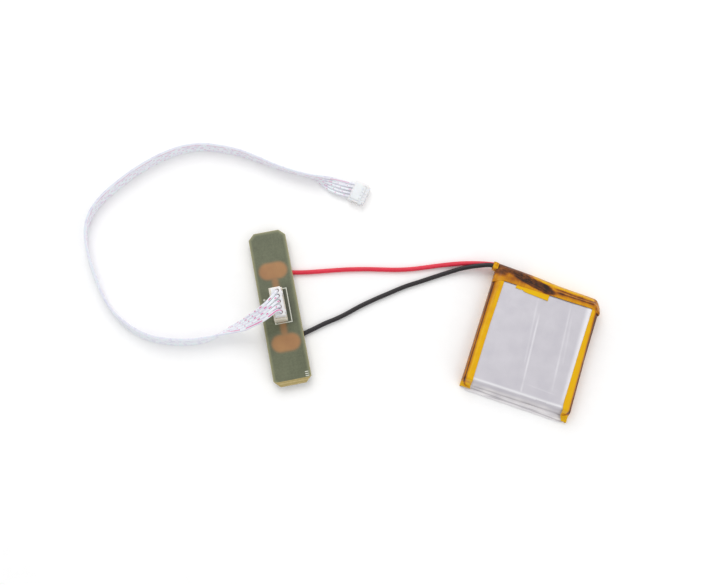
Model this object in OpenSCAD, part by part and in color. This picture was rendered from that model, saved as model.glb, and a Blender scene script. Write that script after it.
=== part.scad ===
// Single-cell lithium polymer battery pack: a taped pouch cell on two leads,
// a slim contact board and a five-wire ribbon cable with a plug at each end.
// Millimetres. Origin at the centre of the cell's underside, +X across the cell,
// +Y towards its lead end, +Z up. The leads and the cable lie on the plane z = 0.

/* [Cell] */
// Width over the side tapes
cell_w = 30; // [29.8:0.1:30.4]
// Thickness over the tapes
cell_t = 5; // [4.8:0.1:5.4]
// Thickness of the pouch laminate
foil_t = 0.24; // [0.2:0.01:0.28]
// Thickness of the polyimide tape
tape_t = 0.12; // [0.06:0.01:0.12]
// Length of the drawn cup
cup_l = 29.8; // [28:0.1:30]
// Corner radius of the cup
cup_r = 1.3; // [0.8:0.1:2]
// Radius along the cup's top edges
shoulder_r = 1; // [0.6:0.1:1.4]

/* [Electrodes] */
// Turns in the flat winding
winding_turns = 3; // [1:1:3]
// Thickness of each electrode layer
electrode_t = 0.18; // [0.1:0.01:0.18]
// Thickness of each separator layer
separator_t = 0.07; // [0.04:0.01:0.07]
// Width of the metal tabs
tab_w = 3; // [2:0.1:4]

/* [Protection circuit] */
// Length of the protection board
pcm_l = 22.8; // [21:0.1:22.8]
// Depth of the protection board
pcm_w = 2.5; // [2.1:0.1:2.5]
// Thickness of the protection board
pcm_t = 0.6; // [0.4:0.1:0.8]

/* [Contact board] */
// Width of the board
board_w = 10.2; // [9:0.1:12]
// Length of the board
board_l = 43; // [38:0.5:48]
// Thickness of the board
board_t = 1.6; // [0.8:0.1:1.6]
// Size of the corner chamfers
board_chamfer = 1.65; // [0.5:0.05:2.5]
// Width of the bevel along the lower end
bevel_w = 1.2; // [0.4:0.1:1.6]
// Length of each oval contact pad
pad_l = 7.6; // [6:0.1:8.5]
// Width of each oval contact pad
pad_w = 4.6; // [3:0.1:5.5]

/* [Connector] */
// Number of circuits
circuits = 5; // [2:1:5]
// Pin spacing of the board connector
pitch = 1.5; // [1.5:0.05:1.6]
// Pin spacing of the far plug
far_pitch = 1; // [0.9:0.05:1]
// Width of each square header pin
pin_w = 0.5; // [0.4:0.05:0.5]
// Running clearance between the plug and its header
plug_gap = 0.08; // [0.05:0.01:0.1]

/* [Wires] */
// Outside diameter of the red and black leads
lead_d = 1.25; // [1:0.05:1.25]
// Diameter of the tinned strands
strand_d = 0.7; // [0.4:0.05:0.7]
// Width of the ribbon cable
ribbon_w = 4; // [3:0.1:4]
// Thickness of the ribbon cable
ribbon_t = 0.8; // [0.5:0.05:0.8]

/* [Hidden] */
$fn = 48;
eps = 0.01;

// Cell: the cup stands on the cover and the tapes wrap both
half_w = cell_w / 2;
cup_half = half_w - 0.8;
cup_y0 = -15.8;
cup_y1 = cup_y0 + cup_l;
cup_top = cell_t - tape_t;
seam_out = half_w - tape_t - 0.08;
seam_h = 3.9;
tape_grip_top = 2.8;    // width of side tape on the upper face
tape_grip_base = 3.8;   // width of side tape on the underside
wrap_y0 = 13.1;         // where the end wrap starts on the upper face
terrace_y = 16.4;       // end of the sealed terrace under the protection board
lip_t = 0.21;           // thickness of the cup's sealed rim

// Protection circuit, turned with the slanting end of the wrap
pcm_at = [1.1, 15.85];
pcm_turn = -2.6;
pcm_z = 1.5;
tab_x = [-5.5, 7];
tab_t = 0.1;

// Contact board in its own place on the table
board_at = [-67.6, -12.3];
board_turn = 29.5;
board_z = 1.35;
copper_t = 0.05;
pad_y = 10.15;          // from the board's centre to each oval pad

// Connector on the board
conn_at = [0.3, 0.1];   // middle of the pin row on the board
header_l = 9.1;
header_wall = 0.52;
header_h = 3.45;
header_base = 1;
header_back = -2.2;     // outer face of the rear wall, from the pin row
header_front = 1.7;
plug_l = header_l - 2 * header_wall - 2 * plug_gap;
plug_back = header_back + header_wall + plug_gap;
plug_front = 1.5;
plug_h = 4.25;
plug_z = board_z + board_t + header_base + 0.1;
terminal_w = 0.9;
cavity_w = terminal_w + 0.06;

// Far plug, lying flat on the table
far_at = [-57.4, 25.8];
far_turn = -6.5;
far_l = 4.5;
far_w = 6;
far_t = 2.6;
far_terminal = 0.62;

// Routes of the leads, from the contact board to the protection board: x, y, z
red_route = [[-69.8, -2.5, 0.65], [-67.7, -1.7, 0.65], [-64.3, -0.5, 0.65], [-60.4, 1.1, 0.65],
    [-56.6, 2.7, 0.65], [-52.8, 4.2, 0.65], [-48.8, 5.6, 0.65], [-44.9, 6.8, 0.65],
    [-41, 8, 0.65], [-37.1, 9.5, 0.65], [-33.3, 11.3, 0.65], [-29.2, 13.3, 0.7],
    [-24.2, 15.4, 1], [-19.4, 16.8, 1.7], [-15.6, 17.5, 2.2], [-13.9, 17.2, 2.4],
    [-12.6, 16.85, 2.5], [-11.3, 16.7, 2.5]];
black_route = [[-60.6, -18.8, 0.65], [-58.9, -16.7, 0.65], [-56.7, -14.5, 0.65],
    [-54.5, -12.3, 0.65], [-52.1, -10.2, 0.65], [-50, -8.1, 0.65], [-46.9, -4.7, 0.65],
    [-43.7, -1.6, 0.65], [-40.5, 1.3, 0.65], [-37.1, 4.3, 0.65], [-33.5, 7, 0.65],
    [-29.8, 9.8, 0.7], [-26.6, 12.1, 0.9], [-23.3, 14.2, 1.5], [-19.6, 15.8, 2.6],
    [-16.2, 16.8, 3.3], [-13.9, 15.8, 2.9], [-12.6, 15.35, 2.5],
    [-11.3, 15.2, 2.5]];
// Route of the ribbon from the board plug to the far plug: x, y, z and its tilt
// about its own line, where 0 lies flat and 90 stands on edge
ribbon_route = [[-67.8, -12.4, 8.3, 0], [-67.8, -12.8, 9.4, -24],
    [-68.2, -13.9, 10.3, -22], [-69.2, -15.7, 10.3, -14], [-70.6, -17.3, 9.1, -4],
    [-72.3, -18.7, 7.4, 6], [-74.4, -20.3, 5.3, 22], [-76.9, -21.9, 3.5, 44],
    [-79.4, -23.8, 2.6, 68], [-82.4, -26.3, 2.1, 90], [-85.4, -28.1, 2.1, 98],
    [-88.9, -29.6, 2.1, 101], [-93, -30.7, 2.1, 101], [-97, -31.3, 2.1, 101],
    [-101, -31.1, 2.1, 102], [-105, -30.1, 2.1, 101], [-109.4, -28.1, 2.1, 97],
    [-113.4, -25.2, 2.1, 96], [-117.3, -21.3, 2.1, 103], [-120.9, -17.1, 2.1, 104],
    [-124, -12.6, 2.1, 100], [-126, -7.8, 2.1, 98], [-126.2, -3, 2.1, 93],
    [-124.7, 2, 2.1, 89], [-122.2, 6.8, 2.1, 87], [-119.4, 11.3, 2.1, 86],
    [-116, 15.7, 2.1, 86], [-112.5, 19.4, 2.1, 85], [-108.4, 22.6, 2.1, 85],
    [-103.7, 24.8, 2.1, 85], [-98.5, 25.9, 2.1, 85], [-93, 26.4, 2.1, 87],
    [-87.5, 26.2, 2.1, 92], [-82, 25.8, 2.1, 98], [-76.6, 25.8, 2.1, 102],
    [-71.6, 26.1, 2.1, 100], [-68.2, 25.9, 2.05, 72], [-65, 25.7, 1.75, 40],
    [-62.2, 25.8, 1.4, 14]];

function unit(v) = v / norm(v);
// A route point without its tilt
function xyz(p) = [p[0], p[1], p[2]];

// A closed tube through ring after ring of points, with its sides cut into triangles
module skin_rings(rings) {
    n = len(rings[0]);
    last = len(rings) - 1;
    polyhedron(
        points = [for (ring = rings) each ring],
        faces = concat(
            [[for (i = [n - 1:-1:0]) i]],
            [for (k = [0:last - 1], i = [0:n - 1]) let (a = k * n + i, b = k * n + (i + 1) % n)
                each [[a, b, b + n], [a, b + n, a + n]]],
            [[for (i = [0:n - 1]) last * n + i]]),
        convexity = 10);
}

// Direction of a route at point k
function heading(route, k) =
    unit(xyz(route[min(k + 1, len(route) - 1)]) - xyz(route[max(k - 1, 0)]));

// A round lead along a route
module lead(route, d, sides = 8) {
    rings = [for (k = [0:len(route) - 1])
        let (t = heading(route, k), s = unit(cross([0, 0, 1], t)), u = cross(t, s))
        [for (i = [0:sides - 1]) let (w = (i + 0.5) * 360 / sides)
            route[k] + d / 2 * (s * cos(w) + u * sin(w))]];
    skin_rings(rings);
}

// The outline of a flat ribbon's section: across and thick
function ribbon_section(w, t) = let (a = w / 2, b = t / 2, c = t / 4)
    [[a, c], [a - c, b], [c - a, b], [-a, c], [-a, -c], [c - a, -b], [a - c, -b], [a, -c]];

// A ring of the ribbon at p, with unit vectors along its width and thickness
function ribbon_ring(p, s, u) =
    [for (q = ribbon_section(ribbon_w, ribbon_t)) p + s * q[0] + u * q[1]];

// The ribbon's ring where its route lies in the open
function tilted_ring(route, k) =
    let (t = heading(route, k), s = unit(cross([0, 0, 1], t)), u = cross(t, s), w = route[k][3])
    ribbon_ring(xyz(route[k]), s * cos(w) + u * sin(w), u * cos(w) - s * sin(w));

// A rounded cup: the three outlines it shows from above, from the end and from the side
module cup_form(half, y0, y1, z0, z1, r, top_r) {
    intersection() {
        translate([0, 0, z0]) linear_extrude(z1 - z0) rounded_rect(half, y0, y1, r);
        translate([0, y1 + 1, 0]) rotate([90, 0, 0]) linear_extrude(y1 - y0 + 2)
            arch(-half, half, z0, z1, top_r);
        translate([-half - 1, 0, 0]) rotate([90, 0, 90]) linear_extrude(2 * half + 2)
            arch(y0, y1, z0, z1, top_r);
    }
}

module rounded_rect(half, y0, y1, r) {
    for (x = [-half + r, half - r], y = [y0 + r, y1 - r]) translate([x, y]) circle(r);
    translate([-half + r, y0]) square([2 * (half - r), y1 - y0]);
    translate([-half, y0 + r]) square([2 * half, y1 - y0 - 2 * r]);
}

module arch(x0, x1, z0, z1, r) {
    for (x = [x0 + r, x1 - r]) translate([x, z1 - r]) circle(r);
    translate([x0 + r, z0]) square([x1 - x0 - 2 * r, z1 - z0]);
    translate([x0, z0]) square([x1 - x0, z1 - z0 - r]);
}

module block(x0, x1, y0, y1, z0, z1) {
    translate([x0, y0, z0]) cube([x1 - x0, y1 - y0, z1 - z0]);
}

// Slots in the sealed rim that the tabs leave through
module tab_slots() {
    for (x = tab_x) block(x - tab_w / 2 - 0.4, x + tab_w / 2 + 0.4,
        cup_y1 - foil_t - 0.2, terrace_y + 1, foil_t - eps, foil_t + 0.17);
}

module pouch_cup() {
    color("silver") difference() {
        union() {
            cup_form(cup_half, cup_y0, cup_y1, foil_t, cup_top, cup_r, shoulder_r);
            // sealed rim at the folded end, a little wider on the right
            translate([0, 0, foil_t]) linear_extrude(lip_t)
                polygon([[-13.4, cup_y0 + 1], [-13.4, -17], [13.4, -17.6], [13.4, cup_y0 + 1]]);
            // terrace that the tabs leave through
            block(-12.2, 12.2, cup_y1 - 1, terrace_y, foil_t, foil_t + 0.26);
        }
        cup_form(cup_half - foil_t, cup_y0 + foil_t, cup_y1 - foil_t, foil_t - 1,
            cup_top - foil_t, cup_r - foil_t, shoulder_r - foil_t);
        tab_slots();
    }
}

module pouch_cover() {
    color("silver") difference() {
        union() {
            linear_extrude(foil_t) polygon([[-seam_out, -17.2], [seam_out, -17.8],
                [seam_out, cup_y1 - 0.2], [12.4, cup_y1 - 0.2], [12.4, terrace_y],
                [-12.4, terrace_y], [-12.4, cup_y1 - 0.2], [-seam_out, cup_y1 - 0.2]]);
            // side seams, folded up against the cup
            for (side = [-1, 1]) scale([side, 1, 1])
                block(cup_half + 0.06, seam_out, cup_y0, wrap_y0 - 0.1, 0, seam_h);
        }
        // the tapes lie in these recesses, flush with the underside
        for (side = [-1, 1]) scale([side, 1, 1])
            block(half_w - tape_grip_base, half_w, -19, 19, -1, tape_t);
        block(-half_w, half_w, wrap_y0 - 0.1, 19, -1, tape_t);
    }
}

// Electrode winding: a flattened spiral. Each turn runs round two ends, and one half
// turn after another keeps the same straight length between them.
core_r = 0.12;
layer_pitch = 2 * (electrode_t + separator_t);
winding_a = 11.6;
winding_y0 = -14.9;
winding_y1 = 12.7;
winding_z = foil_t + (cup_top - 2 * foil_t) / 2 + 0.02;
arc_steps = 6;

function spiral_point(half_turn, j, off) =
    let (turn = half_turn * 180 + j * 180 / arc_steps, r = core_r + off + layer_pitch * turn / 360,
        side = half_turn % 2 == 0 ? 1 : -1)
    [side * winding_a + r * cos(turn - 90), r * sin(turn - 90)];

function spiral_line(off) =
    [for (h = [0:2 * winding_turns - 1], j = [0:arc_steps]) spiral_point(h, j, off)];

module winding(off, thick) {
    outer = spiral_line(off + thick);
    inner = spiral_line(off);
    translate([0, winding_y1, winding_z]) rotate([90, 0, 0])
        linear_extrude(winding_y1 - winding_y0)
            polygon(concat(outer, [for (i = [len(inner) - 1:-1:0]) inner[i]]));
}

module anode_winding() { color("#5a4a42") winding(0, electrode_t - eps); }
module cathode_winding() {
    color("#3c3c40") winding(electrode_t + separator_t, electrode_t - eps);
}
module separator_winding() {
    color("white") {
        winding(electrode_t, separator_t - eps);
        winding(2 * electrode_t + separator_t, separator_t - eps);
    }
}

// A tab runs from the winding under the rim, turns up and lies under the protection board
module cell_tab(x) {
    translate([x + tab_w / 2, 0, 0]) rotate([90, 0, -90]) linear_extrude(tab_w)
        polygon([[-winding_y1 - 0.02, 1.4], [-winding_y1 - 0.02, foil_t],
            [-terrace_y - 0.2, foil_t], [-terrace_y - 0.2, pcm_z - 0.1], [-15.3, pcm_z - 0.1],
            [-15.3, pcm_z - 0.1 - tab_t], [-terrace_y - 0.2 + tab_t, pcm_z - 0.1 - tab_t],
            [-terrace_y - 0.2 + tab_t, foil_t + tab_t], [-winding_y1 - 0.02 - tab_t, foil_t + tab_t],
            [-winding_y1 - 0.02 - tab_t, 1.4]]);
}

module positive_tab() { color("gainsboro") cell_tab(tab_x[1]); }
module negative_tab() { color("silver") cell_tab(tab_x[0]); }

module tab_seal_films() {
    color("white") for (x = tab_x) block(x - tab_w / 2 - 0.3, x + tab_w / 2 + 0.3,
        14.5, terrace_y - 0.2, foil_t + tab_t, foil_t + tab_t + 0.06);
}

module insulating_paper() {
    color("#c9b089") block(-11.6, 11.6, 14.15, terrace_y - 0.1, foil_t + 0.28, foil_t + 0.4);
}

// Protection circuit, drawn about the middle of its board
module at_pcm() {
    translate([pcm_at[0], pcm_at[1], pcm_z]) rotate([0, 0, pcm_turn]) children();
}

module on_pcm(x, y, l, w, h) {
    at_pcm() block(x - l / 2, x + l / 2, y - w / 2, y + w / 2, pcm_t, pcm_t + h);
}

module protection_board() {
    color("darkgreen") at_pcm() block(-pcm_l / 2, pcm_l / 2, -pcm_w / 2, pcm_w / 2, 0, pcm_t);
}

module protection_mosfet() { color("#26221f") on_pcm(-1.2, 0, 4.4, 2, 0.95); }
module protection_ic() { color("#26221f") on_pcm(3.4, 0, 2.9, 1.7, 1.05); }
module chip_resistors() { color("#1d1d22") for (x = [6.2, 7.8]) on_pcm(x, 0.4, 1, 0.6, 0.35); }
module chip_capacitors() { color("#b08d63") for (x = [-4.9, 9.2]) on_pcm(x, 0, 0.8, 1.4, 0.6); }

module tab_weld_plates() {
    color("silver") for (x = tab_x) block(x - 1.4, x + 1.4, 15.3, 16.5, pcm_z - 0.1, pcm_z);
}

// Tinned strands: one at each end of each lead
strand_l = 2.2;
module strand(route, first) {
    k = first ? 0 : len(route) - 1;
    out = first ? -heading(route, k) : heading(route, k);
    translate(route[k]) rotate([0, 0, atan2(out[1], out[0])]) rotate([0, 90, 0])
        cylinder(h = strand_l, d = strand_d);
}

module tinned_lead_ends() {
    color("gainsboro") {
        strand(red_route, true);
        strand(black_route, true);
        strand(red_route, false);
        strand(black_route, false);
    }
}

module lead_solder_joints() {
    color("gainsboro") difference() {
        for (route = [red_route, black_route])
            translate([-9.55, route[len(route) - 1][1], pcm_z + pcm_t])
                cylinder(h = 0.75, r1 = 0.68, r2 = 0.45);
        tinned_lead_ends();
    }
}

// Side tape: a channel that grips the upper face, the side and the underside
module side_tape() {
    top = cell_t;
    shoulder = half_w - 1;
    translate([0, wrap_y0 - 0.05, 0]) rotate([90, 0, 0]) linear_extrude(wrap_y0 - 0.05 + 17.1)
        polygon([[half_w - tape_grip_top, top], [shoulder, top], [half_w, top - 0.8],
            [half_w, 0], [half_w - tape_grip_base, 0], [half_w - tape_grip_base, tape_t],
            [half_w - tape_t, tape_t], [half_w - tape_t, top - 0.86], [shoulder - 0.04, top - tape_t],
            [half_w - tape_grip_top, top - tape_t]]);
}

module side_tape_right() { color("gold") side_tape(); }
module side_tape_left() { color("gold") mirror([1, 0, 0]) side_tape(); }

// End wrap: a sleeve over the protection circuit, slanting across the end
module wrap_outline(inset) {
    polygon([[inset - half_w, 0], [inset - half_w, 18.2 - inset], [12.8 - inset / 2, 16.9 - inset],
        [half_w - inset, 15 - inset], [half_w - inset, 0]]);
}

module wrap_profile(inset) {
    polygon([[0, inset], [19, inset], [19, 3.7 - inset], [17.6, 4.1 - inset],
        [14.2, cell_t - inset], [0, cell_t - inset]]);
}

module wrap_form(inset, y0) {
    intersection() {
        translate([0, 0, -1]) linear_extrude(cell_t + 2) wrap_outline(inset);
        translate([-half_w - 1, 0, 0]) rotate([90, 0, 90]) linear_extrude(cell_w + 2)
            wrap_profile(inset);
        block(-half_w - 1, half_w + 1, y0, 20, -1, cell_t + 1);
    }
}

module top_wrap_tape() {
    color("goldenrod") difference() {
        wrap_form(0, wrap_y0);
        wrap_form(tape_t, wrap_y0 - 1);
        // mouth for the leads
        block(-half_w - 1, 1 - half_w, 15.5, 19, 1.3, 3.5);
        block(-half_w - 1, 1 - half_w, 15.5, 17.5, 1.3, 4.3);
    }
}

module tape_tab() {
    color("gold") translate([0, 0, cell_t - tape_t]) linear_extrude(tape_t)
        polygon([[-8.6, wrap_y0 - 0.02], [-8.5, 12.1], [-6.9, 12.2], [-5.6, 11.8],
            [0.6, 11.4], [0.7, wrap_y0 - 0.02]]);
}

module lead_exit_collar() {
    color("gold") difference() {
        block(-half_w - 1.1, -half_w, 15.6, 18.3, 1.4, 4.1);
        block(-half_w - 2, 1 - half_w, 15.6 + tape_t, 18.3 - tape_t, 1.4 + tape_t, 4.1 - tape_t);
    }
}

module red_lead() { color("red") lead(red_route, lead_d); }
module black_lead() { color("#222222") lead(black_route, lead_d); }

// Contact board, drawn about its own middle: +Y along the board, +X across it
module at_board() {
    translate([board_at[0], board_at[1], 0]) rotate([0, 0, board_turn]) children();
}

module at_pins() {
    at_board() translate([conn_at[0], conn_at[1], 0])
        for (i = [0:circuits - 1]) translate([0, (i - (circuits - 1) / 2) * pitch, 0]) children();
}

module board_outline() {
    a = board_w / 2;
    b = board_l / 2;
    c = board_chamfer;
    polygon([[a, b - c], [a - c, b], [c - a, b], [-a, b - c],
        [-a, c - b], [c - a, -b], [a - c, -b], [a, c - b]]);
}

module board_substrate() {
    top = board_z + board_t;
    color("olivedrab") difference() {
        at_board() translate([0, 0, board_z]) linear_extrude(board_t) board_outline();
        at_pins() translate([0, 0, -1]) cylinder(h = 6, r = 0.45);
        // bevel along the lower end
        at_board() translate([-board_w, -board_l / 2, 0]) rotate([90, 0, 90])
            linear_extrude(2 * board_w)
                polygon([[-1, top - 1], [0, top - 0.75], [bevel_w, top], [bevel_w, top + 1], [-1, top + 1]]);
    }
}

module pad_outline() {
    translate([-(pad_l - pad_w) / 2, 0]) circle(d = pad_w);
    translate([(pad_l - pad_w) / 2, 0]) circle(d = pad_w);
    translate([-(pad_l - pad_w) / 2, -pad_w / 2]) square([pad_l - pad_w, pad_w]);
}

// Copper under the board: a pad and a short trace at each end, and a ring round each pin
module copper_pads() {
    trace_w = 1.6;
    color("#b87333") difference() {
        union() {
            at_board() translate([0, 0, board_z - copper_t]) linear_extrude(copper_t) {
                for (side = [-1, 1]) {
                    translate([0, side * pad_y]) pad_outline();
                    translate([-trace_w / 2 + 0.1, side > 0 ? 3.2 : -pad_y]) square([trace_w, pad_y - 3.2]);
                }
            }
            at_pins() translate([0, 0, board_z - copper_t]) cylinder(h = copper_t, r = 0.7);
        }
        at_pins() translate([0, 0, -1]) cylinder(h = 6, r = 0.45);
    }
}

// Solder mound on each pad, over the lead's strands
module pad_solder_joints() {
    color("gainsboro") difference() {
        at_board() for (side = [-1, 1]) translate([1, side * (pad_y - 0.55), 0.4])
            cylinder(h = board_z - copper_t - 0.4, r1 = 0.7, r2 = 1.5);
        tinned_lead_ends();
    }
}

module silkscreen_marks() {
    line = 0.25;
    color("white") at_board() translate([0, 0, board_z + board_t]) linear_extrude(0.03) {
        difference() {
            translate([-1.95, -4.85]) square([4.75, 9.7]);
            translate([-1.95 + line, -4.85 + line]) square([4.75 - 2 * line, 9.7 - 2 * line]);
        }
        translate([-3.7, 2.45]) circle(r = 0.3);
        translate([-1.7, -4.6]) polygon([[0, 0], [0.55, 0.45], [0, 1.1]]);
        for (y = [0, 0.55, 1.1]) translate([3.6, y - board_l / 2 + bevel_w + 0.25]) square([0.9, 0.22]);
    }
}

module header_housing() {
    base_z = board_z + board_t;
    color("antiquewhite") difference() {
        at_board() translate([conn_at[0], conn_at[1], 0]) difference() {
            block(header_back, header_front, -header_l / 2, header_l / 2, base_z + 0.03, base_z + header_h);
            block(header_back + header_wall, header_front + 1, header_wall - header_l / 2,
                header_l / 2 - header_wall, base_z + header_base, base_z + 9);
            // the front of each end wall stands lower
            block(0.9, header_front + 1, -header_l, header_l, base_z + 2.2, base_z + 9);
        }
        at_pins() block(-pin_w / 2 - eps, pin_w / 2 + eps, -pin_w / 2 - eps, pin_w / 2 + eps, 0, 9);
    }
}

module header_pins() {
    color("gold") at_pins() block(-pin_w / 2, pin_w / 2, -pin_w / 2, pin_w / 2, 0.5, 6.2);
}

module header_solder_joints() {
    color("gainsboro") at_pins() difference() {
        translate([0, 0, 0.75]) cylinder(h = board_z - copper_t - 0.75, r1 = 0.4, r2 = 0.62);
        block(-pin_w / 2, pin_w / 2, -pin_w / 2, pin_w / 2, 0, 6);
    }
}

// Board plug, fully home in its header
module plug_housing() {
    color("white") difference() {
        at_board() translate([conn_at[0], conn_at[1], 0]) {
            block(plug_back, plug_front, -plug_l / 2, plug_l / 2, plug_z, plug_z + plug_h);
            // polarising ribs on the open side
            for (y = [-2.6, 2.6]) block(plug_front - 0.1, plug_front + 0.35, y - 0.35, y + 0.35,
                plug_z + 0.6, plug_z + 3.4);
        }
        at_pins() block(-cavity_w / 2, cavity_w / 2, -cavity_w / 2, cavity_w / 2, 0, 20);
    }
}

module plug_terminals() {
    color("goldenrod") at_pins() difference() {
        block(-terminal_w / 2, terminal_w / 2, -terminal_w / 2, terminal_w / 2,
            plug_z + 0.2, plug_z + plug_h - 0.5);
        block(-pin_w / 2 - 0.05, pin_w / 2 + 0.05, -pin_w / 2 - 0.05, pin_w / 2 + 0.05,
            plug_z - 1, plug_z + 2.6);
    }
}

// The ribbon starts square on the plug's back and ends square on the far plug's
module ribbon_cable() {
    route = ribbon_route;
    last = len(route) - 1;
    along = [-sin(board_turn), cos(board_turn), 0];
    into = [cos(far_turn), sin(far_turn), 0];
    end = [far_at[0], far_at[1], far_t / 2] - into * far_l / 2;
    rings = concat(
        [ribbon_ring(xyz(route[0]), -along, cross([0, 0, 1], -along))],
        [for (k = [1:last]) tilted_ring(route, k)],
        [ribbon_ring(end, cross([0, 0, 1], into), [0, 0, 1])]);
    color("lavender") skin_rings(rings);
}

// Far plug, drawn about its own middle: wires come in at -X, the mating face is at +X
module at_far() {
    translate([far_at[0], far_at[1], far_t / 2]) rotate([0, 0, far_turn]) children();
}

module far_rows() {
    at_far() for (i = [0:circuits - 1]) translate([0, (i - (circuits - 1) / 2) * far_pitch, 0]) children();
}

module far_plug_housing() {
    c = far_terminal + 0.06;
    color("white") difference() {
        at_far() {
            block(-far_l / 2, far_l / 2, -far_w / 2, far_w / 2, -far_t / 2, far_t / 2 - 0.3);
            block(-far_l / 2, far_l / 2 - 1.1, 0.5 - far_w / 2, far_w / 2 - 0.5, -far_t / 2, far_t / 2);
        }
        far_rows() block(0.4 - far_l / 2, far_l, -c / 2, c / 2, -c / 2, c / 2);
    }
}

module far_plug_terminals() {
    color("goldenrod") far_rows() difference() {
        block(0.5 - far_l / 2, far_l / 2 - 0.3, -far_terminal / 2, far_terminal / 2,
            -far_terminal / 2, far_terminal / 2);
        block(0, far_l, -0.17, 0.17, -0.17, 0.17);
    }
}

pouch_cup();
pouch_cover();
anode_winding();
cathode_winding();
separator_winding();
positive_tab();
negative_tab();
tab_seal_films();
insulating_paper();
protection_board();
protection_mosfet();
protection_ic();
chip_resistors();
chip_capacitors();
tab_weld_plates();
lead_solder_joints();
side_tape_left();
side_tape_right();
top_wrap_tape();
tape_tab();
lead_exit_collar();
red_lead();
black_lead();
tinned_lead_ends();
board_substrate();
copper_pads();
pad_solder_joints();
silkscreen_marks();
header_housing();
header_pins();
header_solder_joints();
plug_housing();
plug_terminals();
ribbon_cable();
far_plug_housing();
far_plug_terminals();
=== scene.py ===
import math

import bmesh
import bpy
import numpy as np
from mathutils import Matrix, Vector, noise


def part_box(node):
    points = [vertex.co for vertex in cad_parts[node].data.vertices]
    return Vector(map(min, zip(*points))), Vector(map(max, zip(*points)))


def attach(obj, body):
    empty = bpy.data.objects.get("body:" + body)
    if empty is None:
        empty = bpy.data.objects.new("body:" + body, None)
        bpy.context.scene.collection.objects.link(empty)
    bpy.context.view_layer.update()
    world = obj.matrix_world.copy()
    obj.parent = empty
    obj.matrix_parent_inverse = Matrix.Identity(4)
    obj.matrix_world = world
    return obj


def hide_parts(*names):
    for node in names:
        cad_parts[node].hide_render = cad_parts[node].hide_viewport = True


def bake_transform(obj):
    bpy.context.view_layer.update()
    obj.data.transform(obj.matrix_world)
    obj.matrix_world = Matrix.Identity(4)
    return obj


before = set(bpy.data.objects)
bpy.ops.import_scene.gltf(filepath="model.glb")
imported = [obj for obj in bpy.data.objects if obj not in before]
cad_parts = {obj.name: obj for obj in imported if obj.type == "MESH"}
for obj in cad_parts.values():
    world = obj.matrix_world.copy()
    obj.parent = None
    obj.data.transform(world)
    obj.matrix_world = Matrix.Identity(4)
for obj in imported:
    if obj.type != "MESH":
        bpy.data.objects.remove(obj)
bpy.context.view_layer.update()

mm = 0.001
print("frame loaded")


# small tools
def linear(hexColour):
    # sRGB hex to the linear colour that the shaders use
    parts = [int(hexColour[i:i + 2], 16) / 255 for i in (1, 3, 5)]
    return tuple(c / 12.92 if c <= 0.04045 else ((c + 0.055) / 1.055) ** 2.4 for c in parts) + (1,)


def setInputs(node, values):
    # each input gets a link from a socket, or a value
    for key, value in values.items():
        if isinstance(value, bpy.types.NodeSocket):
            node.id_data.links.new(value, node.inputs[key])
        else:
            node.inputs[key].default_value = value


def addNode(tree, kind, values=None, out=0):
    # one node, a shader's unless its kind says more; keys in small letters are settings and the rest are inputs,
    # stops are a ramp's (place, hex colour); gives back the output of that name or number
    node = tree.nodes.new(kind if "Node" in kind else "ShaderNode" + kind)
    values = dict(values or {})
    stops = values.pop("stops", [])
    while stops and len(node.color_ramp.elements) < len(stops):
        node.color_ramp.elements.new(0.5)
    for i, (place, colour) in enumerate(stops):
        node.color_ramp.elements[i].position, node.color_ramp.elements[i].color = place, linear(colour)
    for key in [key for key in values if str(key).islower()]:
        setattr(node, key, values.pop(key))
    setInputs(node, values)
    return node.outputs[out] if node.outputs else node


def paintOver(tree, colour, layers):
    # masks painted over a colour, one after another: (name of the mask, how strongly it shows, its colour)
    for mask, strength, paint in layers:
        shown = addNode(tree, "Attribute", {"attribute_name": mask}, "Fac")
        amount = addNode(tree, "Math", {"operation": "MULTIPLY", 0: shown, 1: strength})
        colour = addNode(tree, "Mix", {"data_type": "RGBA", 0: amount, 6: colour, 7: paint}, 2)
    return colour


def smooth(low, high, x):
    t = min(1, max(0, (x - low) / (high - low)))
    return t * t * (3 - 2 * t)


def hump(x, middle, width):
    return math.exp(-((x - middle) / width) ** 2)


def wobble(x, y, z, size):
    # smooth noise, -1 to 1, with features of about that size in millimetres
    return noise.noise(Vector((x, y, z)) / size)


def lookup(x, table):
    # straight-line reading of a short table of (x, value)
    return float(np.interp(x, [p[0] for p in table], [p[1] for p in table]))


def makePiece(name, points, faces, materials, smoothFaces=True):
    # a mesh object at the origin, from points in millimetres
    mesh = bpy.data.meshes.new(name)
    mesh.from_pydata([[c * mm for c in p] for p in points], [], faces)
    for material in materials:
        mesh.materials.append(material)
    mesh.polygons.foreach_set("use_smooth", [smoothFaces] * len(mesh.polygons))
    mesh.update()
    piece = bpy.data.objects.new(name, mesh)
    bpy.context.scene.collection.objects.link(piece)
    return piece


def addModifier(piece, kind, **settings):
    modifier = piece.modifiers.new(kind.lower(), kind)
    for key, value in settings.items():
        setattr(modifier, key, value)
    return modifier


def settle(piece):
    # the modifiers become part of the mesh
    graph = bpy.context.evaluated_depsgraph_get()
    mesh = bpy.data.meshes.new_from_object(piece.evaluated_get(graph), depsgraph=graph)
    piece.modifiers.clear()
    piece.data = mesh
    return piece


def outward(piece):
    # merges doubles, then turns every face outwards
    work = bmesh.new()
    work.from_mesh(piece.data)
    bmesh.ops.remove_doubles(work, verts=work.verts, dist=0.0005 * mm)
    bmesh.ops.recalc_face_normals(work, faces=work.faces)
    work.to_mesh(piece.data)
    work.free()
    return piece


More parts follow.
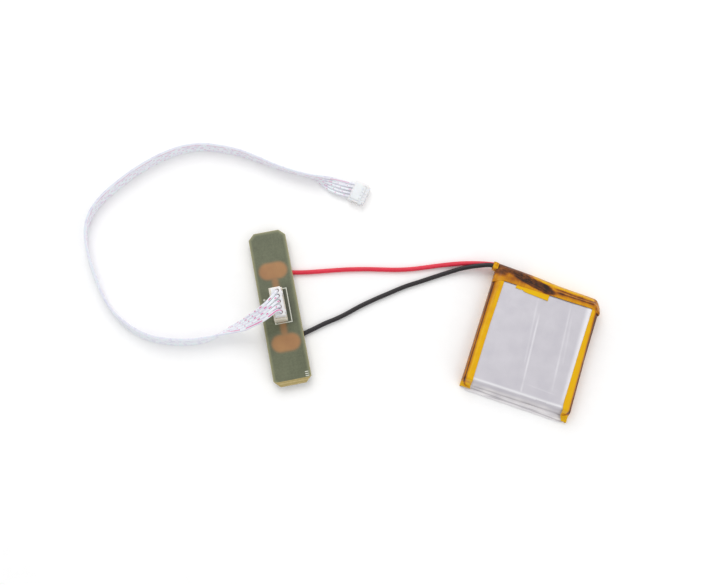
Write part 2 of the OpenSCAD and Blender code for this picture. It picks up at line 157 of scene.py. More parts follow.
def loft(rows, closed=False, caps=False):
    # points and faces of a sheet through rows of points, or a tube if the rows are closed
    points = [p for row in rows for p in row]
    n = len(rows[0])
    faces = []
    for k in range(len(rows) - 1):
        for i in range(n if closed else n - 1):
            j = (i + 1) % n
            faces.append((k * n + i, k * n + j, (k + 1) * n + j, (k + 1) * n + i))
    if caps:
        faces.append(tuple(range(n - 1, -1, -1)))
        faces.append(tuple(range(len(points) - n, len(points))))
    return points, faces


def setMask(piece, name, rule):
    # a number on each point of the mesh, worked out from its place in millimetres
    values = [rule(*(v.co / mm)) for v in piece.data.vertices]
    layer = piece.data.attributes.get(name) or piece.data.attributes.new(name, "FLOAT", "POINT")
    layer.data.foreach_set("value", values)


def placed(piece, body, slot, *nodes):
    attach(piece, body)
    if nodes:
        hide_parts(*nodes)
    return piece


# camera, floor and light

cameraView = {"target": (-0.0503, -0.0017, 0), "azimuth": 18.4, "elevation": 76, "distance": 0.25, "lens": 46.5}
azimuth, elevation = math.radians(cameraView["azimuth"]), math.radians(cameraView["elevation"])
back = Vector((math.sin(azimuth) * math.cos(elevation), -math.cos(azimuth) * math.cos(elevation),
               math.sin(elevation)))
camera = bpy.data.objects.new("camera", bpy.data.cameras.new("camera"))
camera.data.lens = cameraView["lens"]
camera.data.clip_start, camera.data.clip_end = 0.01, 10
camera.location = Vector(cameraView["target"]) + back * cameraView["distance"]
camera.rotation_euler = back.to_track_quat("Z", "Y").to_euler()
bpy.context.scene.collection.objects.link(camera)
bpy.context.scene.camera = camera

lights = {"key": {"place": (-0.30, 0.35, 0.55), "size": 0.5, "power": 1.7},
          "fill": {"place": (0.45, -0.15, 0.5), "size": 0.6, "power": 0.8}}
for name, light in lights.items():
    lamp = bpy.data.objects.new(name, bpy.data.lights.new(name, "AREA"))
    lamp.data.size = light["size"]
    lamp.data.energy = light["power"]
    lamp.location = light["place"]
    lamp.rotation_euler = (Vector(light["place"]) - Vector(cameraView["target"])).to_track_quat("Z", "Y").to_euler()
    bpy.context.scene.collection.objects.link(lamp)

world = bpy.data.worlds.new("studio")
world.use_nodes = True
world.node_tree.nodes["Background"].inputs["Color"].default_value = linear("#ffffff")
world.node_tree.nodes["Background"].inputs["Strength"].default_value = 0.74
bpy.context.scene.world = world
bpy.context.scene.view_settings.view_transform = "Standard"


# materials

def newMaterial(name, **settings):
    # a principled material with its constants on the shader's own sockets
    material = bpy.data.materials.new(name)
    material.use_nodes = True
    tree = material.node_tree
    shader = tree.nodes["Principled BSDF"]
    for key, value in settings.items():
        socket = {"metallic": "Metallic", "ior": "IOR", "coat": "Coat Weight", "coatRoughness": "Coat Roughness",
                  "sheen": "Sheen Weight", "specular": "Specular IOR Level", "subsurface": "Subsurface Weight"}[key]
        shader.inputs[socket].default_value = value
    return material, tree, shader


def finish(name, tones, roughness, grain, bump, stretch=(1, 1, 1), **settings):
    # the common finish: a grain of a real size in mm moves the colour and roughness a little and raises the surface
    material, tree, shader = newMaterial(name, **settings)
    place = addNode(tree, "TexCoord", {}, "Object")
    mapped = addNode(tree, "Mapping", {"Vector": place, "Scale": stretch})
    fine = addNode(tree, "TexNoise", {"Vector": mapped, "Scale": 1 / (grain * mm), "Detail": 3})
    cloud = addNode(tree, "TexNoise", {"Vector": mapped, "Scale": 0.12 / (grain * mm), "Detail": 2})
    mixed = addNode(tree, "Mix", {"Factor": 0.5, "A": cloud, "B": fine})
    stops = [(0.3 + 0.4 * i / (len(tones) - 1), tone) for i, tone in enumerate(tones)]
    tone = addNode(tree, "ValToRGB", {"stops": stops, "Fac": mixed})
    rough = addNode(tree, "MapRange", {"Value": fine, "To Min": roughness * 0.8, "To Max": roughness * 1.2})
    raised = addNode(tree, "Bump", {"Height": fine, "Strength": 0.6, "Distance": bump * mm})
    setInputs(shader, {"Base Color": tone, "Roughness": rough, "Normal": raised})
    return material


paleFloor = finish("whiteBackdrop", ["#fbfbfb", "#ffffff"], 0.9, 4, 0)
floorSize = 4.0
bpy.ops.mesh.primitive_plane_add(size=floorSize, location=(0, 0, -0.00002))
floor = bpy.context.object
floor.name = "floor"
floor.data.materials.append(paleFloor)
print("camera, lights and floor ready")


# cords

redRoute = [(-0.0698, -0.0025, 0.00065), (-0.0677, -0.0017, 0.00065), (-0.0643, -0.0005, 0.00065),
            (-0.0604, 0.0011, 0.00065), (-0.0566, 0.0027, 0.00065), (-0.0528, 0.0042, 0.00065),
            (-0.0488, 0.0056, 0.00065), (-0.0449, 0.0068, 0.00065), (-0.041, 0.008, 0.00065),
            (-0.0371, 0.0095, 0.00065), (-0.0333, 0.0113, 0.00065), (-0.0292, 0.0133, 0.0007),
            (-0.0242, 0.0154, 0.001), (-0.0194, 0.0168, 0.0017), (-0.0156, 0.0175, 0.0022),
            (-0.0139, 0.0172, 0.0024), (-0.0126, 0.01685, 0.0025), (-0.0113, 0.0167, 0.0025)]
blackRoute = [(-0.0606, -0.0188, 0.00065), (-0.0589, -0.0167, 0.00065), (-0.0567, -0.0145, 0.00065),
              (-0.0545, -0.0123, 0.00065), (-0.0521, -0.0102, 0.00065), (-0.05, -0.0081, 0.00065),
              (-0.0469, -0.0047, 0.00065), (-0.0437, -0.0016, 0.00065), (-0.0405, 0.0013, 0.00065),
              (-0.0371, 0.0043, 0.00065), (-0.0335, 0.007, 0.00065), (-0.0298, 0.0098, 0.0007),
              (-0.0266, 0.0121, 0.0009), (-0.0233, 0.0142, 0.0015), (-0.0196, 0.0158, 0.0026),
              (-0.0162, 0.0168, 0.0033), (-0.0139, 0.0158, 0.0029), (-0.0126, 0.01535, 0.0025),
              (-0.0113, 0.0152, 0.0025)]
# the ribbon's points also carry its tilt in degrees: 0 lies flat, 90 stands on edge
ribbonRoute = [(-0.0678, -0.0124, 0.0083, 0), (-0.0678, -0.0128, 0.0094, -24), (-0.0682, -0.0139, 0.0103, -22),
               (-0.0692, -0.0157, 0.0103, -14), (-0.0706, -0.0173, 0.0091, -4), (-0.0723, -0.0187, 0.0074, 6),
               (-0.0744, -0.0203, 0.0053, 22), (-0.0769, -0.0219, 0.0035, 44), (-0.0794, -0.0238, 0.0026, 68),
               (-0.0824, -0.0263, 0.0021, 90), (-0.0854, -0.0281, 0.0021, 98), (-0.0889, -0.0296, 0.0021, 101),
               (-0.093, -0.0307, 0.0021, 101), (-0.097, -0.0313, 0.0021, 101), (-0.101, -0.0311, 0.0021, 102),
               (-0.105, -0.0301, 0.0021, 101), (-0.1094, -0.0281, 0.0021, 97), (-0.1134, -0.0252, 0.0021, 96),
               (-0.1173, -0.0213, 0.0021, 103), (-0.1209, -0.0171, 0.0021, 104), (-0.124, -0.0126, 0.0021, 100),
               (-0.126, -0.0078, 0.0021, 98), (-0.1262, -0.003, 0.0021, 93), (-0.1247, 0.002, 0.0021, 89),
               (-0.1222, 0.0068, 0.0021, 87), (-0.1194, 0.0113, 0.0021, 86), (-0.116, 0.0157, 0.0021, 86),
               (-0.1125, 0.0194, 0.0021, 85), (-0.1084, 0.0226, 0.0021, 85), (-0.1037, 0.0248, 0.0021, 85),
               (-0.0985, 0.0259, 0.0021, 85), (-0.093, 0.0264, 0.0021, 87), (-0.0875, 0.0262, 0.0021, 92),
               (-0.082, 0.0258, 0.0021, 98), (-0.0766, 0.0258, 0.0021, 102), (-0.0716, 0.0261, 0.0021, 100),
               (-0.0682, 0.0259, 0.00205, 72), (-0.065, 0.0257, 0.00175, 40), (-0.0622, 0.0258, 0.0014, 14),
               (-0.05964, 0.02605, 0.0013, 0)]


def smoothPath(route, step):
    # a curve through every point of a route, in steps of about that length
    p = np.array(route, float)
    p = np.vstack([2 * p[0] - p[1], p, 2 * p[-1] - p[-2]])
    path = []
    for a, b, c, d in zip(p, p[1:], p[2:], p[3:]):
        count = max(1, round(np.linalg.norm(c[:3] - b[:3]) / step))
        for t in np.arange(count) / count:
            path.append(0.5 * (2 * b + (c - a) * t + (2 * a - 5 * b + 4 * c - d) * t ** 2
                               + (3 * b - a - 3 * c + d) * t ** 3))
    return np.array(path + [p[-2]])


def insulation(name, tones):
    # extruded PVC: satin, faintly drawn lengthwise, with a soft highlight along the top
    return finish(name, tones, 0.4, 0.5, 0.012, coat=0.05, coatRoughness=0.3, specular=0.4)


leads = {"redLead": {"route": redRoute, "node": "red_lead", "slot": "red_insulation",
                     "tones": ["#d21f38", "#e6304a"], "length": 0.0625},
         "blackLead": {"route": blackRoute, "node": "black_lead", "slot": "black_insulation",
                       "tones": ["#120d12", "#1e181d"], "length": 0.063}}
leadDiameter = 0.00125
collarLow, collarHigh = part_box("lead_exit_collar")

for name, lead in leads.items():
    curve = bpy.data.curves.new(name, "CURVE")
    curve.dimensions = "3D"
    curve.bevel_depth = leadDiameter / 2
    curve.bevel_resolution = 4
    curve.use_fill_caps = True
    path = smoothPath(lead["route"], 0.0006)
    spline = curve.splines.new("POLY")
    spline.points.add(len(path) - 1)
    spline.points.foreach_set("co", [c for p in path for c in (*p, 1)])
    spline.use_smooth = True
    curve.materials.append(insulation(name + "Pvc", lead["tones"]))
    piece = bpy.data.objects.new(name, curve)
    bpy.context.scene.collection.objects.link(piece)
    placed(piece, "pack", lead["slot"], lead["node"])
    print(name, "length", round(float(np.linalg.norm(np.diff(path, axis=0), axis=1).sum()), 4))

# ribbon: five fused conductors that part into single wires at both plugs
ribbon = {"wires": 5, "pitch": 0.8, "radius": 0.4, "web": 0.2, "step": 0.45, "partFrom": 10.2, "joinAt": 3.7,
          "length": 0.166, "sides": 12}
boardTurn = math.radians(29.5)
boardAlong = Vector((-math.sin(boardTurn), math.cos(boardTurn), 0))
pinsLow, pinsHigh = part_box("header_pins")
pinRow = (pinsLow + pinsHigh) / 2 / mm
pinPitch = 1.5
plugLow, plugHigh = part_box("plug_housing")
farLow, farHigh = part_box("far_plug_housing")
farCentre = (farLow + farHigh) / 2 / mm
farTurn = math.radians(-6.5)
farInto = Vector((math.cos(farTurn), math.sin(farTurn), 0))
farRow = Vector((-math.sin(farTurn), math.cos(farTurn), 0))
farPitch = 1.0
farLength = 4.5


def ribbonFrame(path, k):
    # centre, across and up at one point of the ribbon's path, in millimetres
    ahead = path[min(k + 1, len(path) - 1)][:3] - path[max(k - 1, 0)][:3]
    t = Vector(ahead).normalized()
    s = Vector((0, 0, 1)).cross(t).normalized()
    u = t.cross(s)
    w = math.radians(path[k][3])
    return Vector(path[k][:3]) / mm, s * math.cos(w) + u * math.sin(w), u * math.cos(w) - s * math.sin(w), t


def ribbonOutline():
    # the fused section: (across, up, height on the printed side) round the five lobes
    lowest = math.degrees(math.asin(ribbon["web"] / ribbon["radius"]))
    upper = []
    for wire in range(ribbon["wires"]):
        first = 180 if wire == 0 else 180 - lowest
        last = 0 if wire == ribbon["wires"] - 1 else lowest
        for angle in np.linspace(first, last, 7):
            a = math.radians(angle)
            middle = (wire - (ribbon["wires"] - 1) / 2) * ribbon["pitch"]
            upper.append((middle + ribbon["radius"] * math.cos(a), ribbon["radius"] * math.sin(a)))
    lower = [(x, -y) for x, y in reversed(upper[1:-1])]
    return upper + lower


def wireRings(centres, across, radius):
    # rings of a round wire along its centres; across gives the direction that its print faces away from
    rings = []
    for k, c in enumerate(centres):
        t = (centres[min(k + 1, len(centres) - 1)] - centres[max(k - 1, 0)]).normalized()
        s = (across[k] - t * across[k].dot(t)).normalized()
        u = t.cross(s)
        rings.append([c + s * radius[k] * math.cos(a) + u * radius[k] * math.sin(a)
                      for a in np.linspace(0, 2 * math.pi, ribbon["sides"], endpoint=False)])
    return rings


def ribbonPvc():
    # clear-white PVC over tinned strands, with a broken magenta print on one face
    material, tree, shader = newMaterial("ribbonPvc", coat=0.1, coatRoughness=0.25, ior=1.5)
    value = {name: addNode(tree, "Attribute", {"attribute_name": name}, "Fac")
             for name in ("along", "across", "printed")}
    steps = [("lane", "MULTIPLY_ADD", "across", 1 / ribbon["pitch"], 2.5), ("wire", "FLOOR", "lane"),
             ("part", "FRACT", "lane"), ("fromMiddle", "SUBTRACT", "part", 0.5), ("offset", "ABSOLUTE", "fromMiddle"),
             # short marks about every 2.6 mm, each wire's at its own place and each of its own length
             ("start", "MULTIPLY", "wire", 0.37), ("beat", "MULTIPLY_ADD", "along", 1 / 2.6, "start"),
             ("number", "FLOOR", "beat"), ("phase", "FRACT", "beat"), ("seed", "MULTIPLY", "wire", 12.99),
             ("mixed", "MULTIPLY_ADD", "number", 78.23, "seed"), ("wave", "SINE", "mixed"),
             ("large", "MULTIPLY", "wave", 437.58), ("chance", "FRACT", "large"),
             ("size", "MULTIPLY_ADD", "chance", 0.34, 0.06), ("short", "LESS_THAN", "phase", "size"),
             # the wire at the lower edge has 5.5 mm strokes with 1.7 mm gaps
             ("beatLong", "DIVIDE", "along", 7.2), ("phaseLong", "FRACT", "beatLong"),
             ("long", "LESS_THAN", "phaseLong", 0.76), ("edge", "GREATER_THAN", "wire", 3.5),
             ("inner", "SUBTRACT", 1.0, "edge"), ("shorts", "MULTIPLY", "short", "inner"),
             ("marks", "MULTIPLY_ADD", "long", "edge", "shorts"), ("narrow", "LESS_THAN", "offset", 0.2),
             ("facing", "GREATER_THAN", "printed", 0.3), ("onFace", "MULTIPLY", "narrow", "facing"),
             # the print wears paler away from the board
             ("worn", "MULTIPLY_ADD", "along", -0.016, 1.06), ("fade", "MAXIMUM", "worn", 0.5),
             ("faded", "MULTIPLY", "marks", "fade"), ("inked", "MULTIPLY", "faded", "onFace"),
             ("ink", "MULTIPLY", "inked", 0.82)]
    for name, operation, *parts in steps:
        value[name] = addNode(tree, "Math", {"operation": operation,
                                             **{i: value.get(part, part) for i, part in enumerate(parts)}})
    place = addNode(tree, "TexCoord", {}, "Object")
    cloud = addNode(tree, "TexNoise", {"Vector": place, "Scale": 900, "Detail": 2})
    # strands show through as lilac and pale cyan, with painted shade in the grooves between the wires
    base = addNode(tree, "ValToRGB", {"stops": [(0.35, "#e2e2ee"), (0.5, "#efeff6"), (0.62, "#e8f2f5")], "Fac": cloud})
    grooveShade = addNode(tree, "MapRange", {"Value": value["offset"], "From Min": 0.36, "From Max": 0.5, "To Min": 0,
                                        "To Max": 0.4})
    body = addNode(tree, "Mix", {"data_type": "RGBA", 0: grooveShade, 6: base, 7: linear("#b9bad4")}, 2)
    ink = addNode(tree, "Mix", {"data_type": "RGBA", 0: value["ink"], 6: body, 7: linear("#d63a94")}, 2)
    raised = addNode(tree, "Bump", {"Height": cloud, "Strength": 0.4, "Distance": 0.02 * mm})
    setInputs(shader, {"Base Color": ink, "Roughness": 0.36, "Normal": raised})
    return material


def makeRibbon():
    path = smoothPath(ribbonRoute, ribbon["step"] * mm)
    gone = np.concatenate([[0], np.cumsum(np.linalg.norm(np.diff(path[:, :3], axis=0), axis=1))]) / mm
    frames = [ribbonFrame(path, k) for k in range(len(path))]
    joined = [k for k in range(len(path)) if gone[k] >= ribbon["joinAt"] and gone[k] <= gone[-1] - ribbon["partFrom"]]
    outline, radius = ribbonOutline(), ribbon["radius"]
    points, faces, marks = [], [], []  # each point's marks: along, across, height on the printed side

    def addTube(rings):
        base = len(points)
        tubePoints, tubeFaces = loft(rings, closed=True, caps=True)
        points.extend(tubePoints)
        faces.extend(tuple(base + i for i in face) for face in tubeFaces)

    rings = []
    for k in joined:
        c, s, u, t = frames[k]
        rings.append([c + s * x + u * y for x, y in outline])
        marks += [(gone[k], x, y / radius) for x, y in outline]
    addTube(rings)

    turns = [(math.cos(a), math.sin(a)) for a in np.linspace(0, 2 * math.pi, ribbon["sides"], endpoint=False)]
    for wire in range(ribbon["wires"]):
        number = wire - (ribbon["wires"] - 1) / 2
        lane = number * ribbon["pitch"]
        # at the board plug: out of its own cavity, over and into its lane
        c, s, u, t = frames[joined[0]]
        start = pinRow - boardAlong * number * pinPitch
        start.z = plugHigh.z / mm - 0.7
        legs = [start, start + Vector((0, 0, 1.9 + 0.2 * (wire % 2))), c + s * lane - t * 1.7, c + s * lane + t * 0.35]
        centres, facing, thick = [], [], []
        for v in np.linspace(0, 1, 18):
            centres.append(legs[0] * (1 - v) ** 3 + legs[1] * 3 * v * (1 - v) ** 2
                           + legs[2] * 3 * v * v * (1 - v) + legs[3] * v ** 3)
            facing.append((-boardAlong).lerp(s, v))
            thick.append(radius - 0.02 * math.sin(v * math.pi))
            marks += [(gone[joined[0]] * v, lane + radius * x, y) for x, y in turns]
        addTube(wireRings(centres, facing, thick))
        # at the far plug: out of its lane and into its own cavity
        centres, facing, thick = [], [], []
        for k in range(joined[-1] - 1, len(path)):
            c, s, u, t = frames[k]
            v = smooth(gone[joined[-1]], gone[-1], gone[k])
            drop = 0.12 * math.sin(v * math.pi) * (wire % 2)
            centres.append(c + (s * lane).lerp(farRow * number * farPitch, v) - Vector((0, 0, drop)))
            facing.append(s.lerp(farRow, v))
            thick.append(radius - 0.05 * v)
            marks += [(gone[k], lane + radius * x, y) for x, y in turns]
        centres.append(centres[-1] + farInto * 0.6)
        facing.append(farRow)
        thick.append(radius - 0.05)
        marks += [(gone[-1], lane + radius * x, y) for x, y in turns]
        addTube(wireRings(centres, facing, thick))

    piece = makePiece("ribbonCable", points, faces, [ribbonPvc()])
    for name, values in zip(("along", "across", "printed"), zip(*marks)):
        piece.data.attributes.new(name, "FLOAT", "POINT").data.foreach_set("value", values)
    print("ribbon length", round(gone[-1] * mm, 4))
    return piece, [tuple(p[:3]) for p in path]


ribbonCable, ribbonPath = makeRibbon()
print("cords ready")


# moulded and cut parts

def joinedBlocks(name, solids):
    # one mesh object out of boxes (low, high), posts (x, y, radius, low z, high z) and prisms (outline, low z, high z)
    work = bmesh.new()
    for solid in solids:
        if len(solid) == 2:
            low, high = Vector(solid[0]), Vector(solid[1])
            placeIt = Matrix.Translation((low + high) / 2) @ Matrix.Diagonal((*(high - low), 1))
            bmesh.ops.create_cube(work, size=1, matrix=placeIt)
        elif len(solid) == 5:
            x, y, radius, low, high = solid
            bmesh.ops.create_cone(work, cap_ends=True, segments=28, radius1=radius, radius2=radius,
                                  depth=high - low, matrix=Matrix.Translation((x, y, (low + high) / 2)))
        else:
            outline, low, high = solid
            base = [work.verts.new((x, y, low)) for x, y in outline]
            lid = [work.verts.new((x, y, high)) for x, y in outline]
            work.faces.new(base[::-1])
            work.faces.new(lid)
            for i in range(len(base)):
                j = (i + 1) % len(base)
                work.faces.new((base[i], base[j], lid[j], lid[i]))
    bmesh.ops.recalc_face_normals(work, faces=work.faces)
    mesh = bpy.data.meshes.new(name)
    work.to_mesh(mesh)
    work.free()
    piece = bpy.data.objects.new(name, mesh)
    bpy.context.scene.collection.objects.link(piece)
    return piece


def moulded(name, solid, added, removed, place, material, edge, sharp=38):
    # a solid with others joined to it and cut from it, its edges rounded, put in place from its own millimetres
    piece = joinedBlocks(name, [solid])
    tools = []
    for i, (group, operation) in enumerate(((added, "UNION"), (removed, "DIFFERENCE"))):
        for j, one in enumerate(group):
            tool = joinedBlocks(f"{name}Tool{i}{j}", [one])
            tools.append(tool)
            addModifier(piece, "BOOLEAN", operation=operation, object=tool, solver="EXACT")
    settle(piece)
    for tool in tools:
        bpy.data.objects.remove(tool)
    addModifier(piece, "BEVEL", width=edge, segments=2, limit_method="ANGLE", angle_limit=math.radians(40),
                use_clamp_overlap=True, harden_normals=False)
    settle(piece)
    piece.data.transform(Matrix.Scale(mm, 4) @ place)
    work = bmesh.new()
    work.from_mesh(piece.data)
    bmesh.ops.dissolve_degenerate(work, edges=work.edges, dist=0.0001 * mm)
    for face in work.faces:
        face.smooth = True
    for line in work.edges:
        line.smooth = line.calc_face_angle(3) < math.radians(sharp)
    work.to_mesh(piece.data)
    work.free()
    piece.data.materials.clear()
    piece.data.materials.append(material)
    return piece


def nylon(name, tones, clear):
    # injection-moulded nylon: milky, slightly see-through, with a faint grain from the mould
    return finish(name, tones, 0.42, 0.35, 0.01, subsurface=clear, coat=0.08)


def solderFinish(name):
    # reflowed tin solder: bright, faintly dimpled
    return finish(name, ["#b9b9b7", "#d8d8d4"], 0.26, 0.25, 0.02, metallic=1)


# contact board

boardLow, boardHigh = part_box("board_substrate")
boardCentre = (boardLow + boardHigh) / 2 / mm
boardCentre.z = 0
onBoard = Matrix.Translation(boardCentre) @ Matrix.Rotation(boardTurn, 4, "Z")
board = {"width": 10.2, "length": 43.0, "chamfer": 1.65, "bevel": 1.2, "padLength": 7.7, "padWidth": 4.7,
         "padFrom": 10.15, "trace": 1.7, "blur": 0.55, "cell": 0.42, "fall": 0.75}
boardTop, boardUnder = boardHigh.z / mm, boardLow.z / mm


def copperShade(x, y, z):
    # how much of the copper on the far side shows through at a point of the board, 0 to 1
    local = onBoard.inverted() @ Vector((x, y, 0))
    reach = board["padLength"] / 2 - board["padWidth"] / 2
    shade = 0
    for side in (-1, 1):
        dx = max(0, abs(local.x - 0.05) - reach)
        dy = local.y - side * board["padFrom"]
        pad = board["padWidth"] / 2 - math.hypot(dx, dy)
        line = board["trace"] / 2 - abs(local.x - 0.1)
        inLine = smooth(2.4, 3.4, side * local.y) * (1 - smooth(board["padFrom"] - 1, board["padFrom"], side * local.y))
        shade = max(shade, smooth(-board["blur"], board["blur"], pad),
                    0.8 * smooth(-board["blur"], board["blur"], line) * inLine)
    return shade


def edgeShade(x, y, z):
    # 1 along the board's rim, 0 inside
    local = onBoard.inverted() @ Vector((x, y, 0))
    inside = min(board["width"] / 2 - abs(local.x), board["length"] / 2 - abs(local.y),
                 (board["width"] / 2 + board["length"] / 2 - board["chamfer"] - abs(local.x) - abs(local.y)) / 1.414)
    return 1 - smooth(0, 0.9, inside)


def stainShade(x, y, z):
    # painted shadow of the plug: the mask darker beside the connector's open side
    local = onBoard.inverted() @ Vector((x, y, 0))
    across = smooth(1.0, 1.8, local.x) * (1 - smooth(2.6, 4.6, local.x))
    return across * (1 - smooth(4.2, 6.2, abs(local.y))) * (0.85 + 0.3 * wobble(x, y, 1, 2))


def boardMaterial():
    # olive solder mask on bare glass laminate: semi-matt, with the far side's copper faintly showing through
    material, tree, shader = newMaterial("solderMaskLaminate", coat=0.2, coatRoughness=0.35)
    place = addNode(tree, "TexCoord", {}, "Object")
    turned = addNode(tree, "Mapping", {"vector_type": "TEXTURE", "Vector": place, "Rotation": (0, 0, boardTurn)})
    # glass cloth: threads every 0.5 mm both ways
    weave = [addNode(tree, "TexWave", {"bands_direction": axis, "Vector": turned, "Scale": 314,
                                       "Distortion": 0.4}, "Fac") for axis in ("X", "Y")]
    cloth = addNode(tree, "Mix", {"Factor": 0.5, "A": weave[0], "B": weave[1]})
    cloud = addNode(tree, "TexNoise", {"Vector": turned, "Scale": 160, "Detail": 4})
    speck = addNode(tree, "TexNoise", {"Vector": turned, "Scale": 2600, "Detail": 2})
    mask = addNode(tree, "ValToRGB", {"stops": [(0.3, "#585d42"), (0.5, "#60654a"), (0.7, "#696d52")], "Fac": cloud})
    dust = addNode(tree, "ValToRGB", {"stops": [(0.3, "#404040"), (0.7, "#c0c0c0")], "Fac": speck})
    threads = addNode(tree, "ValToRGB", {"stops": [(0.2, "#505050"), (0.8, "#b0b0b0")], "Fac": cloth})
    for strength, pattern in ((0.25, dust), (0.06, threads)):
        mask = addNode(tree, "Mix", {"data_type": "RGBA", "blend_type": "SOFT_LIGHT", 0: strength, 6: mask,
                                     7: pattern}, 2)
    ghost = addNode(tree, "ValToRGB", {"stops": [(0.35, "#9d6c3d"), (0.65, "#aa7a47")], "Fac": cloud})
    # the dark olive layer is a painted shadow of the plug beside the connector's open side
    tone = paintOver(tree, mask, [("copper", 0.92, ghost), ("plugShadow", 0.8, linear("#2f3022")),
                                  ("rim", 0.6, linear("#a3a27a"))])
    rough = addNode(tree, "MapRange", {"Value": cloud, "To Min": 0.42, "To Max": 0.58})
    raised = addNode(tree, "Bump", {"Height": cloth, "Strength": 0.3, "Distance": 0.01 * mm})
    setInputs(shader, {"Base Color": tone, "Roughness": rough, "Normal": raised})
    return material


def cutLaminate():
    # sawn edge of glass laminate: straw-yellow resin with the cloth's layers along it
    material, tree, shader = newMaterial("sawnLaminateEdge", specular=0.3)
    place = addNode(tree, "TexCoord", {}, "Object")
    # glass layers, 0.2 mm each, lie flat in the thickness
    layers = addNode(tree, "TexWave", {"bands_direction": "Z", "Vector": place, "Scale": 785, "Distortion": 1.4,
                                       "Detail": 2}, "Fac")
    grit = addNode(tree, "TexNoise", {"Vector": place, "Scale": 1800, "Detail": 3})
    both = addNode(tree, "Mix", {"Factor": 0.65, "A": layers, "B": grit})
    tone = addNode(tree, "ValToRGB", {"stops": [(0.3, "#a5945f"), (0.5, "#b29f6b"), (0.72, "#c0b080")], "Fac": both})
    raised = addNode(tree, "Bump", {"Height": both, "Strength": 0.5, "Distance": 0.03 * mm})
    setInputs(shader, {"Base Color": tone, "Roughness": 0.7, "Normal": raised})
    return material


def makeBoard():
    a, b, c = board["width"] / 2, board["length"] / 2, board["chamfer"]
    outline = [(a, b - c), (a - c, b), (c - a, b), (-a, b - c), (-a, c - b), (c - a, -b), (a - c, -b), (a, c - b)]
    piece = joinedBlocks("contactBoard", [(outline, boardUnder, boardTop)])
    work = bmesh.new()
    work.from_mesh(piece.data)
    # the bevel along the lower end falls over its width
    slope = Vector((0, -board["fall"], board["bevel"])).normalized()
    sliced = bmesh.ops.bisect_plane(work, geom=[*work.verts, *work.edges, *work.faces], dist=1e-6,
                                    plane_co=(0, board["bevel"] - b, boardTop), plane_no=slope, clear_outer=True)
    rim = [e for e in sliced["geom_cut"] if isinstance(e, bmesh.types.BMEdge)]
    bmesh.ops.edgeloop_fill(work, edges=rim)
    bmesh.ops.recalc_face_normals(work, faces=work.faces)
    bmesh.ops.bevel(work, geom=list(work.edges), offset=0.07, segments=2, profile=0.6, affect="EDGES",
                    clamp_overlap=True)
    for axis, half in ((0, a), (1, b)):
        for at in np.arange(-half + board["cell"], half, board["cell"]):
            normal = Vector((0, 0, 0))
            normal[axis] = 1
            bmesh.ops.bisect_plane(work, geom=[*work.verts, *work.edges, *work.faces], dist=1e-6,
                                   plane_co=normal * at, plane_no=normal)
    for face in work.faces:
        face.smooth = True
        face.material_index = 0 if abs(face.normal.z) > 0.97 else 1
    for line in work.edges:
        line.smooth = line.calc_face_angle(3) < math.radians(35)
    work.to_mesh(piece.data)
    work.free()
    piece.data.transform(Matrix.Scale(mm, 4) @ onBoard)
    piece.data.materials.append(boardMaterial())
    piece.data.materials.append(cutLaminate())
    setMask(piece, "copper", lambda x, y, z: copperShade(x, y, z) if z > boardTop - 0.3 else 0)
    setMask(piece, "rim", edgeShade)
    # painted shadow of the plug, on the top face only
    setMask(piece, "plugShadow", lambda x, y, z: stainShade(x, y, z) if z > boardTop - 0.3 else 0)
    return placed(piece, "pack", "board_laminate", "board_substrate")


makeBoard()
print("board ready")


# connectors

atPins = Matrix.Translation((pinRow.x, pinRow.y, 0)) @ Matrix.Rotation(boardTurn, 4, "Z")
pinPlaces = [(i - 2) * pinPitch for i in range(5)]
headerLow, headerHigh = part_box("header_housing")
header = {"length": 9.1, "wall": 0.52, "back": -2.2, "front": 1.35, "base": 1.0, "step": 2.2}
plug = {"length": 7.9, "back": -1.62, "front": 1.1, "cavity": 0.5, "rib": 0.25}


def makeHeader():
    half, base = header["length"] / 2, boardTop
    top = headerHigh.z / mm
    solid = ((header["back"], -half, base + 0.03), (header["front"], half, top))
    removed = [((header["back"] + header["wall"], header["wall"] - half, base + header["base"]),
                (header["front"] + 1, half - header["wall"], top + 1)),
               ((0.9, -half - 1, base + header["step"]), (header["front"] + 1, half + 1, top + 1)),
               # windows in the rear wall
               ((header["back"] - 1, -2.6, base + 1.5), (header["back"] + 1, -1.5, base + 2.7)),
               ((header["back"] - 1, 1.5, base + 1.5), (header["back"] + 1, 2.6, base + 2.7))]
    removed += [((-0.27, y - 0.27, base - 1), (0.27, y + 0.27, base + 3)) for y in pinPlaces]
    piece = moulded("boardHeader", solid, [], removed, atPins, nylon("headerNylon", ["#d9cdb9", "#ece3d3"], 0.1), 0.07)
    return placed(piece, "pack", "header_nylon", "header_housing")


def makePlug():
    half, low, top = plug["length"] / 2, plugLow.z / mm, plugHigh.z / mm
    solid = ((plug["back"], -half, low), (plug["front"], half, top))
    added = [((plug["front"] - 0.2, y - 0.35, low + 0.6), (plug["front"] + plug["rib"], y + 0.35, low + 3.4))
             for y in (-2.6, 2.6)]
    # the upper edge of the open side steps back, and both ends have a grip
    removed = [((plug["front"] - 0.25, -half - 1, top - 0.6), (plug["front"] + 1, half + 1, top + 1))]
    removed += [((-0.5, side * half - 0.18, top - 1.5), (0.9, side * half + 0.18, top - 0.5)) for side in (-1, 1)]
    for y in pinPlaces:
        removed.append(((-0.48, y - 0.48, low - 1), (0.48, y + 0.48, top - 0.45)))
        removed.append((0.05, y, plug["cavity"], top - 0.6, top + 1))
        removed.append(((plug["front"] - 0.35, y - 0.32, low + 1.3), (plug["front"] + 0.1, y + 0.32, low + 2.1)))
    piece = moulded("boardPlug", solid, added, removed, atPins, nylon("plugNylon", ["#ece6e6", "#f6f2f1"], 0.15), 0.06)
    return placed(piece, "board_plug", "plug_nylon", "plug_housing")


